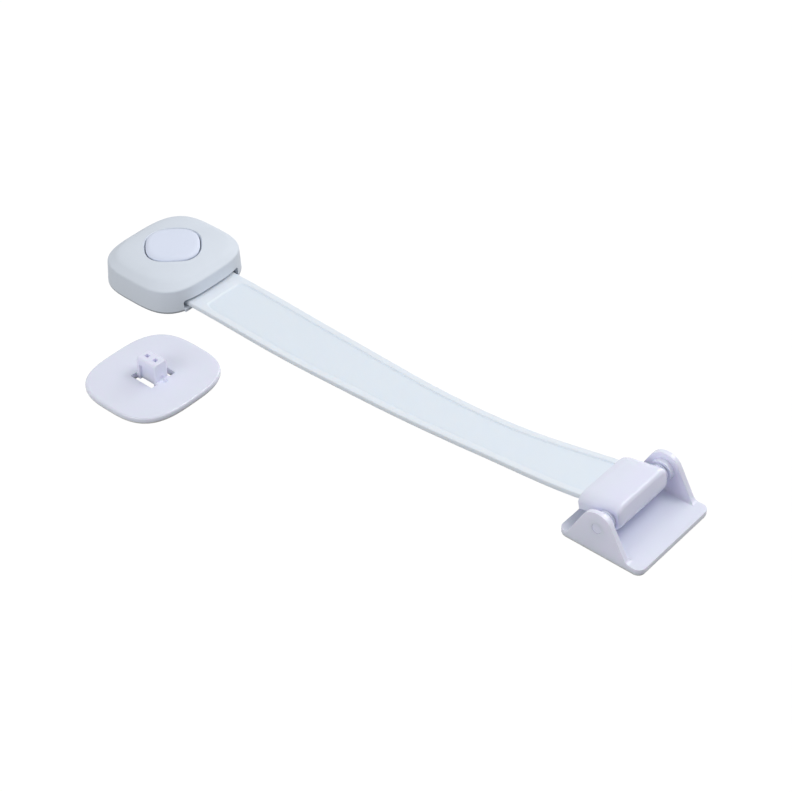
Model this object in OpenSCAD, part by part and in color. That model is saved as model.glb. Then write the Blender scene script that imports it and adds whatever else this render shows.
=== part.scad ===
// Toilet lid lock: a hinged bracket, a flexible strap and a push-button lock head,
// with the catch plate that the head snaps onto lying beside it.
// Millimetres. The origin is the middle of the bracket pad's underside, +Z is up,
// the strap runs along -X to the head, and everything rests on the plane z = 0.

/* [Lock head] */
// Length of the head along the strap
head_len = 47; // [44:0.5:52]
// Width of the head across the strap
head_wid = 52; // [50:0.5:58]
// Squareness of the head's outline, 2 is an ellipse
head_square = 3.3; // [3:0.1:4]
// Height of the head's side wall, up to its edge
head_side_h = 11.2; // [10.5:0.1:12.5]
// Radius of the edge between the wall and the shoulder
head_edge_r = 1.2; // [0.6:0.1:1.8]
// How far the side wall leans in over its height
head_draft = 0.6; // [0:0.1:1]
// Radius of the head's lower rim
head_rim_r = 0.6; // [0.2:0.1:1]
// Width of the sloping shoulder round the top
shoulder_run = 3.6; // [2.5:0.1:4.5]
// Slope of the shoulder, degrees
shoulder_slope = 40; // [35:1:45]
// Rise of the crowned top
head_crown = 1.5; // [1:0.1:1.9]
// Wall of the head's shell
head_wall = 2; // [1.6:0.1:2.4]
// Distance from the bracket's centre to the head's centre
head_reach = 238; // [200:1:280]

/* [Push button] */
// Width of the button across its flats
button_w = 24.2; // [22:0.1:25]
// Squareness of the button's outline
button_square = 2.6; // [2.2:0.1:3]
// Height of the button above the head's crown
button_proud = 1; // [0.8:0.1:2.5]
// Travel of the button
button_travel = 2.5; // [1.5:0.1:2.5]
// Open groove round the button
button_gap = 0.35; // [0.2:0.05:0.6]
// Width of the button's rounded edge
button_edge_w = 2.4; // [1:0.1:3]
// Height of the button's rounded edge
button_edge_h = 1.2; // [0.6:0.1:1.6]
// Wall of the button's skirt
button_wall = 1.6; // [1.2:0.1:2]

/* [Strap] */
// Width of the strap at the head
strap_head_w = 27.4; // [25:0.1:29]
// Width of the strap at its waist
strap_waist_w = 21.6; // [20:0.1:24]
// Width of the strap at the hinge block
strap_hinge_w = 25.2; // [22:0.1:25.6]
// Distance of the waist from the bracket's centre
strap_waist_back = 65; // [50:1:90]
// Thickness of the strap at its border
strap_t = 2.3; // [1.8:0.1:2.4]
// Width of the raised border
strap_border = 2.6; // [1.5:0.1:4]
// Depth of the panel between the borders
strap_recess = 0.5; // [0.2:0.1:0.8]
// Slope of the strap where it climbs to the hinge, degrees
strap_slope = 11.5; // [10.5:0.1:13]
// Radius of the bend at the foot of that slope
strap_bend_r = 520; // [300:10:530]
// Height of the strap's flat run above the ground
strap_lift = 0.3; // [0.2:0.1:1]

/* [Hinge bracket] */
// Length of the base plate along the strap
base_len = 36.4; // [34:0.1:44]
// Width of the base plate
base_wid = 44.6; // [43:0.1:50]
// Thickness of the base plate
base_t = 2.2; // [1.6:0.1:3]
// Corner radius of the base plate
base_corner_r = 3; // [1:0.5:6]
// Clear width between the ears
ear_inside = 39; // [38.4:0.1:39.4]
// Thickness of an ear
ear_t = 2.6; // [2:0.1:2.8]
// Radius of an ear's round top
ear_r = 7.1; // [6.5:0.1:8]
// Reach of an ear's foot from the pin, towards the strap
ear_foot_back = 13.2; // [10:0.1:15]
// Reach of an ear's foot from the pin, away from the strap
ear_foot_front = 14; // [10:0.1:18]
// Height of the hinge pin's axis
pin_h = 12.2; // [12:0.1:14]
// Distance of the pin from the bracket's centre, towards the head
pin_back = 1.8; // [0:0.1:3]
// Diameter of the hinge pin
pin_d = 4; // [3:0.1:5]

/* [Hinge block] */
// Width of the block that grips the strap
block_w = 30.8; // [30:0.1:32]
// Diameter of its barrel round the pin
barrel_d = 11; // [10:0.1:12]
// Length of the block from the pin to its strap end
block_len = 12.8; // [12:0.1:16]
// Length of the ramp at the strap end
ramp_len = 2.7; // [1:0.1:4]
// Drop of the ramp
ramp_drop = 0.6; // [0.3:0.1:1.2]
// Plastic above the strap
block_roof = 2.1; // [1.6:0.1:2.4]
// Plastic below the strap
block_floor = 1.7; // [1.5:0.1:2.4]
// Height of the strap's underside above the pin's axis, in the block
strap_seat = 1.8; // [1.5:0.1:2.2]
// Radius of the block's front edge, above the barrel
block_front_r = 2; // [1:0.1:3]
// Depth of the strap inside the block
strap_grip = 7.2; // [6:0.1:8]

/* [Catch plate] */
// Length of the catch plate
plate_len = 45; // [40:0.5:47]
// Width of the catch plate
plate_wid = 50; // [44:0.5:54]
// Squareness of the catch plate's outline
plate_square = 3.05; // [2.6:0.05:4]
// Thickness of the catch plate
plate_t = 2.6; // [2:0.1:3.5]
// Place of the catch plate along the strap, from the bracket's centre
plate_back = 193.6; // [150:0.1:196]
// Place of the catch plate beside the strap
plate_aside = 56.1; // [56:0.1:90]
// Length of the catch post
post_len = 10.2; // [9:0.1:10.4]
// Width of the catch post over its lips
post_wid = 6.7; // [6:0.1:7]
// Height of the catch post above the plate
post_h = 8.1; // [7.6:0.1:8.4]
// Height of the lips at the top of the post
lip_h = 3.6; // [3:0.1:3.8]
// Depth of the undercut below the lips
lip_depth = 1.3; // [1:0.1:1.5]
// Width of the window beside the post
window_w = 3.2; // [2:0.1:4]

/* [Adhesive pads] */
// Thickness of the foam pads
pad_t = 0.9; // [0.5:0.1:1.6]
// Margin of the pads inside their plates
pad_inset = 0.6; // [0.2:0.1:2]

/* [Latch] */
// Thickness of the head's bottom cover
cover_t = 1.3; // [1.1:0.1:1.5]
// Recess of the bottom cover above the shell's rim
cover_recess = 0.3; // [0.2:0.1:0.5]
// Thickness of the latch jaws
jaw_t = 3.2; // [3:0.1:3.4]
// Travel of each jaw
jaw_travel = 1.5; // [1.3:0.1:1.7]
// Overlap of a jaw's nose under the post's lip
jaw_bite = 1; // [0.8:0.1:1.2]
// Wall of the socket that takes the post
socket_wall = 1.2; // [1:0.1:1.4]

/* [Fasteners and springs] */
// Diameter of the head's screws
screw_d = 1.8; // [1.6:0.1:2.2]
// Diameter of a screw's head
screw_head_d = 3.6; // [3.2:0.1:4]
// Wire diameter of the button's spring
button_wire = 0.5; // [0.4:0.05:0.55]
// Wire diameter of the jaw springs
jaw_wire = 0.45; // [0.35:0.05:0.5]

/* [Fits] */
// Running clearance of the hinge on its pin, on the radius
pin_play = 0.05; // [0.02:0.01:0.1]
// Clearance between faces that slide or are assembled
slide_gap = 0.1; // [0.05:0.01:0.15]
// Clearance round the catch post in its socket
post_gap = 0.5; // [0.3:0.05:0.6]

/* [Hidden] */

// Number of points round an outline, and smoothness of true circles
outline_steps = 48;
$fn = 48;
// Overlap that makes cuts run clear of a face
cut = 1;
// Thickness of the slices that a rounded form is stretched over
slice = 0.01;

// Bracket heights and places
pin_x = -pin_back;
pin_r = pin_d / 2;
ear_in_y = ear_inside / 2;
ear_out_y = ear_in_y + ear_t;
boss_wall = 3.4;
boss_r = pin_r + boss_wall;
bush_wall = 2.6;
bush_r = pin_r + bush_wall;
bush_len = 2;
boss_t = ear_in_y - block_w / 2 - bush_len - 2 * slide_gap;
// Gap of pressed pins and of screws in their holes, on the radius
press_gap = 0.03;

// Hinge block in its own frame: the pin is the origin and the strap lies along -X
barrel_r = barrel_d / 2;
block_top = strap_seat + strap_t + block_roof;
block_bottom = strap_seat - block_floor;
// Width over which the top falls away to each side, and how far it falls
side_run = 5.4;
side_fall = 0.9;
clamp_side = 1.4;
clamp_screw_x = block_len - strap_grip / 2;
clamp_screw_edge = 4.8;
clamp_screw_y = strap_hinge_w / 2 - clamp_screw_edge;
clamp_bite = 1.2;
clamp_head_t = 0.8;
// Room past the tip of a screw
tip_gap = 0.2;

// Head heights
head_a = head_len / 2;
head_b = head_wid / 2;
head_x = -head_reach;
// Step of the rounded edge, and the shares of the outline that carry the crown
edge_step = 10;
crown_shares = [0.8, 0.6, 0.4];
crown_z = head_side_h + shoulder_run * tan(shoulder_slope);
head_top = crown_z + head_crown;
cover_top = cover_recess + cover_t;

// Strap heights and places
tab_z = cover_top + slide_gap;
tab_in = 12.8;
slot_side = 2.4;
slot_over = 1.5;
slot_deep = 5;
slot_top = tab_z + strap_t + slot_over;
tab_x = head_x + tab_in;
tab_clear = 2;
tab_out_x = head_x + head_a + tab_clear;
settle_run = 60;
settle_x = tab_out_x + settle_run;
taper_run = 24;
taper_x = tab_out_x + taper_run;
knee_x = pin_x - (pin_h + strap_seat / cos(strap_slope) - strap_lift) / tan(strap_slope);
bend_run = strap_bend_r * tan(strap_slope / 2);
peg_in = 3.7;
peg_x = tab_in + peg_in;
peg_edge = 6;
peg_y = strap_head_w / 2 - peg_edge;
peg_r = 1.5;
peg_over = 0.6;

// Latch heights and places, measured from the head's centre
socket_in_x = post_len / 2 + post_gap;
socket_in_y = post_wid / 2 + post_gap;
socket_out_x = socket_in_x + socket_wall;
socket_over = 0.7;
socket_top = post_h + socket_over;
roof_top = socket_top + socket_wall;
jaw_z = cover_top + slide_gap;
jaw_top = jaw_z + jaw_t;
jaw_front = socket_in_y + slide_gap;
jaw_len = 11;
jaw_back = jaw_front + jaw_len;
arm_clear = 0.4;
arm_in_x = socket_out_x + arm_clear;
arm_w = 3.4;
jaw_half = arm_in_x + arm_w;
rail_x = jaw_half + slide_gap;
rail_t = 1.2;
rail_h = 2.8;
nose_side = 1.6;
nose_w = post_len - 2 * nose_side;
nose_under = 0.2;
nose_top = post_h - lip_h - nose_under;
nose_h = 2.1;
nose_flat = 0.8;
nose_y = post_wid / 2 - jaw_bite;
spring_room = 5.5;
lug_y = jaw_back + spring_room;
lug_t = 1.5;
lug_w = 6;
spring_z = jaw_z + jaw_t / 2;
spring_peg_r = 0.8;
spring_peg_len = 1.3;
spring_slack = 0.2;
jaw_turns = 5;

// Wedge of the button that spreads the jaws: y grows by wedge_ratio for each mm of height
wedge_ratio = jaw_travel / button_travel;
wedge_gap = 0.2;
leg_clear = 0.2;
leg_bottom = cover_top + button_travel + leg_clear;
leg_w = arm_w - 2 * leg_clear;
leg_x = arm_in_x + arm_w / 2;
leg_tip = 1.1;
leg_shoulder = jaw_top + button_travel;
leg_half = leg_tip + wedge_ratio * (leg_shoulder - leg_bottom);

// Button heights
button_r = button_w / 2;
button_top = crown_z + head_crown + button_proud;
button_roof = 1.8;
flange_out = 1.3;
flange_t = 1.3;
flange_clear = 0.5;
flange_z = jaw_top + button_travel + flange_clear;
collar_z = flange_z + flange_t + slide_gap;
collar_t = 1.2;
bezel_w = 1.3;
bezel_deep = 1;
bezel_share = (button_r + button_gap + bezel_w) / (head_a - head_draft - shoulder_run);
bezel_top = crown_z + head_crown * (1 - bezel_share * bezel_share);
button_coil_r = 3;
button_turns = 3;

// Screws of the head
screw_edge_x = 8.6;
screw_edge_y = 9;
screw_x = head_a - screw_edge_x;
screw_y = head_b - screw_edge_y;
screw_head_t = 1.2;
screw_land = 0.9;
screw_sunk = 0.2;
screw_seat_z = cover_recess + screw_head_t + screw_sunk;
pillar_z = screw_seat_z + screw_land;
pillar_wall = 0.8;
pillar_r = screw_head_d / 2 + pillar_wall;
screw_bite = 5.5;
screw_top = pillar_z + screw_bite;

// Catch plate
plate_a = plate_len / 2;
plate_b = plate_wid / 2;
plate_top = pad_t + plate_t;
plate_edge_r = 1.2;
plate_round = min(plate_edge_r, plate_t / 2);
post_end_wall = 1.2;
pit_w = 1.8;
pit_deep = 1.5;
pit_pitch = 4.5;
window_over = 0.9;
gate_w = 3.4;
gate_deep = 0.8;

// Colours
head_grey = [0.80, 0.83, 0.87];
button_white = [0.86, 0.87, 0.93];
gloss_white = [0.88, 0.88, 0.95];
strap_clear = [0.88, 0.91, 0.95];
foam_white = [0.93, 0.92, 0.88];
steel = [0.62, 0.63, 0.65];

// Points of a rounded square with half sizes a and b
function squircle(a, b, n) = [for (i = [0:outline_steps - 1])
    let (t = 360 * i / outline_steps, c = cos(t), s = sin(t))
    [a * sign(c) * pow(abs(c), 2 / n), b * sign(s) * pow(abs(s), 2 / n)]];

// Point where the line from p touches a circle at c, on the left (side = 1) or right (-1)
function tangent_point(p, c, r, side) =
    let (d = norm(p - c), base = atan2(p[1] - c[1], p[0] - c[0]), turn = acos(r / d))
    c + r * [cos(base - side * turn), sin(base - side * turn)];

// Centre line of the strap's underside as [x, z, slope], from the head to the hinge
strap_end = block_len - strap_grip;
strap_clamp_x = pin_back + block_len;
bend_steps = 8;
plan_steps = 24;
strap_path = concat(
    [[tab_x, tab_z, 0], [tab_out_x, tab_z, 0], [settle_x, strap_lift, 0]],
    [for (i = [0:bend_steps]) let (t = strap_slope * i / bend_steps)
        [knee_x - bend_run + strap_bend_r * sin(t), strap_lift + strap_bend_r * (1 - cos(t)), t]],
    [[pin_x - strap_end * cos(strap_slope) - strap_seat * sin(strap_slope),
      pin_h - strap_end * sin(strap_slope) + strap_seat * cos(strap_slope), strap_slope]]);

// Outline of a layer of the strap, seen from the side, between two heights above its underside
function strap_layer(low, high) = concat(
    [for (p = strap_path) [p[0] - low * sin(p[2]), p[1] + low * cos(p[2])]],
    [for (i = [len(strap_path) - 1:-1:0]) let (p = strap_path[i])
        [p[0] - high * sin(p[2]), p[1] + high * cos(p[2])]]);

// Half width of the strap at x: even at the head, then drawn in smoothly to the waist
function ease(t) = (1 - cos(180 * max(0, min(1, t)))) / 2;
function strap_half(x) = x < -strap_waist_back
    ? (strap_head_w + (strap_waist_w - strap_head_w)
        * ease((x - taper_x) / (-strap_waist_back - taper_x))) / 2
    : (strap_waist_w + (strap_hinge_w - strap_waist_w)
        * ease((x + strap_waist_back) / (strap_waist_back - strap_clamp_x))) / 2;

// Outline of the strap from above, drawn in at its sides by a margin
function strap_plan(side_in, head_end, hinge_end) =
    let (xs = [for (i = [0:plan_steps]) head_end + (hinge_end - head_end) * i / plan_steps])
    concat([for (x = xs) [x, side_in - strap_half(x)]],
           [for (i = [plan_steps:-1:0]) [xs[i], strap_half(xs[i]) - side_in]]);

// Places that several pieces share

module at_head() { translate([head_x, 0, 0]) children(); }

module at_catch() { translate([-plate_back, -plate_aside, 0]) children(); }

module at_hinge() { translate([pin_x, 0, pin_h]) rotate([0, -strap_slope, 0]) children(); }

// A bar along Y from y0 to y1, round the axis at x, z
module bar_y(r, y0, y1) {
    translate([0, y1, 0]) rotate([90, 0, 0]) cylinder(r = r, h = y1 - y0);
}

// A side outline drawn in x and z, stretched across Y
module across(width) {
    rotate([90, 0, 0]) translate([0, 0, -width / 2]) linear_extrude(width) children();
}

// A rounded square prism
module squircle_bar(a, b, n, z0, z1) {
    translate([0, 0, z0]) linear_extrude(z1 - z0) polygon(squircle(a, b, n));
}

// The button's outline, turned so that its flats face the head's corners
module button_bar(grow, z0, z1) {
    rotate([0, 0, 45]) squircle_bar(button_r + grow, button_r + grow, button_square, z0, z1);
}

// Side outline of the head as [inset, height], from its wall over the edge to the shoulder's end
function head_profile(inset) =
    let (turn = 90 - shoulder_slope, back = tan(turn / 2), lean = shoulder_slope / 2,
         r = max(0, head_edge_r - inset), corner = [head_draft + inset, head_side_h - inset * back],
         edge = [for (t = [0:edge_step:turn]) corner + r * [1 - cos(t), sin(t) - back]])
    concat(r > 0 ? edge : [corner],
           [[head_draft + shoulder_run + inset * sin(lean), crown_z - inset * cos(lean)]]);

// The head's outer form, or its cavity when drawn in by a wall
module head_form(inset) {
    profile = head_profile(inset);
    last = profile[len(profile) - 1];
    hull() {
        if (inset > 0)
            squircle_bar(head_a - inset, head_b - inset, head_square, -cut, slice);
        else for (p = [[head_rim_r, 0], [0, head_rim_r]])
            squircle_bar(head_a - p[0], head_b - p[0], head_square, p[1], p[1] + slice);
        for (p = profile)
            squircle_bar(head_a - p[0], head_b - p[0], head_square, p[1] - slice, p[1]);
        for (s = crown_shares)
            squircle_bar((head_a - last[0]) * s, (head_b - last[0]) * s, head_square,
                         last[1], last[1] + head_crown * (1 - s * s));
    }
}

module screw_places() {
    for (x = [-screw_x, screw_x], y = [-screw_y, screw_y]) translate([x, y, 0]) children();
}

// A pan-head screw with a cross recess, pointing up from z = 0
module screw(d, head_d, head_t, length) {
    drive_w = d * 0.3;
    drive_l = head_d * 0.6;
    drive_deep = head_t * 0.5;
    difference() {
        union() {
            cylinder(d = head_d, h = head_t);
            cylinder(d = d, h = length);
        }
        for (turn = [0, 90]) rotate([0, 0, turn])
            translate([-drive_l / 2, -drive_w / 2, -cut]) cube([drive_l, drive_w, drive_deep + cut]);
    }
}

// Round wire wound into an open coil along +Z, from z = 0 to length
module coil(mean_r, wire, length, turns) {
    sides = 6;
    rings_a_turn = 12;
    rings = turns * rings_a_turn;
    pitch = (length - wire) / turns;
    points = [for (i = [0:rings], k = [0:sides - 1])
        let (a = 360 * i / rings_a_turn, b = 360 * k / sides, r = mean_r + wire / 2 * cos(b))
        [r * cos(a), r * sin(a), wire / 2 + pitch * a / 360 + wire / 2 * sin(b)]];
    next_turn = [for (i = [0:rings - rings_a_turn], k = [0:sides - 1], j = [0:sides - 1])
        norm(points[i * sides + k] - points[(i + rings_a_turn) * sides + j])];
    walls = [for (i = [0:rings - 1], k = [0:sides - 1])
        let (n = (k + 1) % sides, p = i * sides)
        each [[p + k, p + n, p + sides + n], [p + k, p + sides + n, p + sides + k]]];
    ends = [[for (k = [sides - 1:-1:0]) k], [for (k = [0:sides - 1]) rings * sides + k]];
    echo(str("least gap of the coil to itself ", min(next_turn)));
    polyhedron(points, [for (f = concat(walls, ends)) [for (i = [len(f) - 1:-1:0]) f[i]]], convexity = 10);
}

// Bracket

module base_bracket() {
    c = [pin_x, pin_h];
    left = [pin_x - ear_foot_back, pad_t + base_t / 2];
    right = [pin_x + ear_foot_front, pad_t + base_t / 2];
    color(gloss_white) difference() {
        union() {
            translate([0, 0, pad_t]) linear_extrude(base_t) rounded_plate(base_len, base_wid, base_corner_r);
            for (s = [-1, 1]) {
                translate([0, s * (ear_in_y + ear_t / 2), 0]) across(ear_t) {
                    polygon([left, right, tangent_point(right, c, ear_r, -1), c,
                             tangent_point(left, c, ear_r, 1)]);
                    translate(c) circle(r = ear_r);
                }
                translate([pin_x, 0, pin_h])
                    bar_y(boss_r, min(s * (ear_in_y - boss_t), s * (ear_in_y + cut)),
                          max(s * (ear_in_y - boss_t), s * (ear_in_y + cut)));
            }
        }
        translate([pin_x, 0, pin_h]) bar_y(pin_r + press_gap, -ear_out_y - cut, ear_out_y + cut);
    }
}

// A plate outline with round corners, centred
module rounded_plate(len, wid, r) {
    square([len - 2 * r, wid], center = true);
    square([len, wid - 2 * r], center = true);
    for (x = [-1, 1], y = [-1, 1]) translate([x * (len / 2 - r), y * (wid / 2 - r)]) circle(r = r);
}

module bracket_pad() {
    color(foam_white) linear_extrude(pad_t)
        rounded_plate(base_len - 2 * pad_inset, base_wid - 2 * pad_inset, base_corner_r - pad_inset / 2);
}

module hinge_pin() {
    color(gloss_white) translate([pin_x, 0, pin_h]) bar_y(pin_r, -ear_out_y, ear_out_y);
}

// Collar on the pin between the barrel and the ear's boss, on the side s
module hinge_bush(s) {
    inner = block_w / 2 + slide_gap;
    outer = ear_in_y - boss_t - slide_gap;
    color(gloss_white) translate([pin_x, 0, pin_h]) difference() {
        bar_y(bush_r, min(s * inner, s * outer), max(s * inner, s * outer));
        bar_y(pin_r + press_gap, -ear_in_y, ear_in_y);
    }
}

module hinge_bush_near() { hinge_bush(-1); }

module hinge_bush_far() { hinge_bush(1); }

// Hinge block, in the frame of its pin

module hinge_block() {
    pocket_w = strap_hinge_w + 2 * clamp_side;
    flat_half = block_w / 2 - side_run;
    side_slope = side_fall / side_run;
    color(gloss_white) at_hinge() difference() {
        intersection() {
            across(block_w) {
                circle(r = barrel_r);
                polygon([[-block_len, block_bottom], [0, block_bottom], [0, block_top],
                         [-block_len + ramp_len, block_top], [-block_len, block_top - ramp_drop]]);
                square([barrel_r - block_front_r, block_top]);
                square([barrel_r, block_top - block_front_r]);
                translate([barrel_r - block_front_r, block_top - block_front_r]) circle(r = block_front_r);
            }
            // Ridge that leaves the middle of the top flat and lets its sides fall
            rotate([90, 0, 90]) linear_extrude(4 * block_len, center = true)
                polygon([[-block_w, -block_w], [block_w, -block_w],
                         [block_w, block_top - side_slope * (block_w - flat_half)],
                         [0, block_top + side_slope * flat_half],
                         [-block_w, block_top - side_slope * (block_w - flat_half)]]);
        }
        bar_y(pin_r + pin_play, -block_w, block_w);
        // Pocket for the strap's end, and below it the seat of the clamp
        translate([-block_len - cut, -strap_hinge_w / 2 - slide_gap, strap_seat - slide_gap])
            cube([strap_grip + slide_gap + cut, strap_hinge_w + 2 * slide_gap, strap_t + 2 * slide_gap]);
        translate([-block_len - cut, -pocket_w / 2, block_bottom - cut])
            cube([strap_grip + slide_gap + cut, pocket_w, block_floor + cut]);
        for (s = [-1, 1]) translate([-clamp_screw_x, s * clamp_screw_y, 0])
            cylinder(d = screw_d + 2 * press_gap, h = strap_seat + strap_t + clamp_bite + tip_gap);
    }
}

module strap_clamp() {
    wid = strap_hinge_w + 2 * (clamp_side - slide_gap);
    color(gloss_white) at_hinge() difference() {
        translate([-block_len, -wid / 2, block_bottom])
            cube([strap_grip - slide_gap, wid, block_floor - slide_gap]);
        for (s = [-1, 1]) translate([-clamp_screw_x, s * clamp_screw_y, block_bottom]) {
            translate([0, 0, -cut]) cylinder(d = screw_d + 2 * slide_gap, h = block_floor + 2 * cut);
            translate([0, 0, -cut]) cylinder(d = screw_head_d + 2 * slide_gap, h = cut + clamp_head_t);
        }
    }
}

module clamp_screws() {
    length = block_floor + strap_t + clamp_bite;
    color(steel) at_hinge() for (s = [-1, 1])
        translate([-clamp_screw_x, s * clamp_screw_y, block_bottom])
            screw(screw_d, screw_head_d, clamp_head_t, length);
}

// Strap

module strap() {
    panel_start = tab_out_x + strap_border;
    color(strap_clear) difference() {
        intersection() {
            across(2 * head_wid) polygon(strap_layer(0, strap_t));
            translate([0, 0, -cut]) linear_extrude(2 * pin_h) polygon(strap_plan(0, tab_x - cut, 0));
        }
        intersection() {
            across(2 * head_wid) polygon(strap_layer(strap_t - strap_recess, strap_t + cut));
            translate([0, 0, -cut]) linear_extrude(2 * pin_h)
                polygon(strap_plan(strap_border, panel_start, pin_x - block_len - cut));
        }
        at_head() for (s = [-1, 1]) translate([peg_x, s * peg_y, 0])
            cylinder(r = peg_r + slide_gap, h = slot_top);
        at_hinge() for (s = [-1, 1]) translate([-clamp_screw_x, s * clamp_screw_y, -strap_t])
            cylinder(d = screw_d + 2 * slide_gap, h = 4 * strap_t);
    }
}

// Lock head, from its centre

module head_shell() {
    slot_w = strap_head_w + 2 * slot_side;
    color(head_grey) at_head() difference() {
        union() {
            difference() {
                head_form(0);
                head_form(head_wall);
            }
            intersection() {
                head_form(head_wall / 2);
                union() {
                    button_bar(button_gap + collar_t, collar_z, head_top);
                    screw_places() translate([0, 0, pillar_z + slide_gap / 2])
                        cylinder(r = pillar_r, h = head_top);
                }
            }
        }
        button_bar(button_gap, collar_z - cut, head_top + cut);
        // Sloping rim round the button's hole
        hull() {
            button_bar(button_gap - bezel_w, bezel_top - 2 * bezel_deep, bezel_top);
            button_bar(button_gap + bezel_w, bezel_top, bezel_top + cut);
        }
        screw_places() cylinder(d = screw_d + 2 * press_gap, h = screw_top + tip_gap);
        translate([head_a - slot_deep, -slot_w / 2, -cut])
            cube([slot_deep + cut, slot_w, slot_top + cut]);
    }
}

module head_cover() {
    in = head_wall + head_draft * pillar_z / head_side_h + slide_gap;
    sill_w = strap_head_w + 2 * slot_side - 2 * slide_gap;
    color(head_grey) at_head() difference() {
        union() {
            intersection() {
                squircle_bar(head_a - in, head_b - in, head_square, cover_recess, pillar_z);
                union() {
                    translate([-head_a, -head_b, 0]) cube([head_len, head_wid, cover_top]);
                    screw_places() cylinder(r = pillar_r, h = pillar_z);
                }
            }
            translate([0, -sill_w / 2, cover_recess]) cube([head_a - head_wall / 2, sill_w, cover_t]);
            // Socket for the catch post, with its two long sides left open for the jaws
            translate([-socket_out_x, -socket_in_y, cover_recess])
                cube([2 * socket_out_x, 2 * socket_in_y, roof_top - cover_recess]);
            for (s = [-1, 1]) {
                translate([s * (rail_x + rail_t / 2) - rail_t / 2, -jaw_back, cover_top - slice])
                    cube([rail_t, 2 * jaw_back, rail_h]);
                translate([-lug_w / 2, s * (lug_y + lug_t / 2) - lug_t / 2, cover_top - slice])
                    cube([lug_w, lug_t, jaw_t]);
                translate([0, 0, spring_z])
                    bar_y(spring_peg_r, min(s * (lug_y - spring_peg_len), s * lug_y),
                          max(s * (lug_y - spring_peg_len), s * lug_y));
                translate([peg_x, s * peg_y, cover_top - slice]) cylinder(r = peg_r, h = strap_t + peg_over);
            }
        }
        translate([-socket_in_x, -socket_in_y - cut, cover_top])
            cube([2 * socket_in_x, 2 * socket_in_y + 2 * cut, socket_top - cover_top]);
        translate([-socket_in_x, -socket_in_y, -cut])
            cube([2 * socket_in_x, 2 * socket_in_y, cover_top + 2 * cut]);
        screw_places() {
            cylinder(d = screw_d + 2 * slide_gap, h = pillar_z + cut);
            cylinder(d = screw_head_d + 2 * slide_gap, h = screw_seat_z);
        }
    }
}

module head_screws() {
    color(steel) at_head() screw_places() translate([0, 0, screw_seat_z - screw_head_t])
        screw(screw_d, screw_head_d, screw_head_t, screw_top - screw_seat_z + screw_head_t);
}

module push_button() {
    inner = button_top - button_roof;
    color(button_white) at_head() {
        difference() {
            union() {
                hull() {
                    button_bar(0, collar_z - flange_t, button_top - button_edge_h);
                    for (t = [30, 60, 90])
                        button_bar(button_edge_w * (cos(t) - 1), collar_z,
                                   button_top - button_edge_h * (1 - sin(t)));
                }
                button_bar(flange_out, flange_z, flange_z + flange_t);
            }
            button_bar(-button_wall, flange_z - cut, inner);
        }
        for (s = [-1, 1]) translate([s * leg_x - leg_w / 2, 0, 0])
            rotate([90, 0, 90]) linear_extrude(leg_w)
                polygon([[-leg_tip, leg_bottom], [leg_tip, leg_bottom], [leg_half, leg_shoulder],
                         [leg_half, inner + slice], [-leg_half, inner + slice], [-leg_half, leg_shoulder]]);
    }
}

module button_spring() {
    color(steel) at_head() translate([0, 0, roof_top + slide_gap])
        coil(button_coil_r, button_wire, button_top - button_roof - roof_top - 2 * slide_gap, button_turns);
}

// One latch jaw: a sliding plate with a nose for the post's lip and two arms for the button's wedges
module latch_jaw(s) {
    tip = leg_tip + wedge_gap;
    chamfer = jaw_top - leg_bottom;
    color(gloss_white) at_head() mirror([0, s > 0 ? 1 : 0, 0]) {
        translate([-jaw_half, -jaw_back, jaw_z]) cube([2 * jaw_half, jaw_back - jaw_front, jaw_t]);
        for (x = [-1, 1]) translate([x * (arm_in_x + arm_w / 2) - arm_w / 2, 0, 0])
            rotate([90, 0, 90]) linear_extrude(arm_w)
                polygon([[-jaw_front - slice, jaw_z], [-tip, jaw_z], [-tip, leg_bottom],
                         [-tip - chamfer * wedge_ratio, jaw_top], [-jaw_front - slice, jaw_top]]);
        translate([-nose_w / 2, 0, 0]) rotate([90, 0, 90]) linear_extrude(nose_w)
            polygon([[-jaw_front - slice, nose_top - nose_h], [-nose_y - jaw_bite, nose_top - nose_h],
                     [-nose_y, nose_top - nose_flat], [-nose_y, nose_top], [-jaw_front - slice, nose_top]]);
        translate([0, 0, spring_z]) bar_y(spring_peg_r, -jaw_back - spring_peg_len, -jaw_back + slice);
    }
}

module latch_jaw_near() { latch_jaw(-1); }

module latch_jaw_far() { latch_jaw(1); }

module jaw_spring(s) {
    mean_r = spring_peg_r + jaw_wire / 2 + spring_slack;
    color(steel) at_head() mirror([0, s > 0 ? 1 : 0, 0])
        translate([0, -jaw_back - slide_gap, spring_z]) rotate([90, 0, 0])
            coil(mean_r, jaw_wire, lug_y - jaw_back - 2 * slide_gap, jaw_turns);
}

module jaw_spring_near() { jaw_spring(-1); }

module jaw_spring_far() { jaw_spring(1); }

// Catch plate, from its centre

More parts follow.
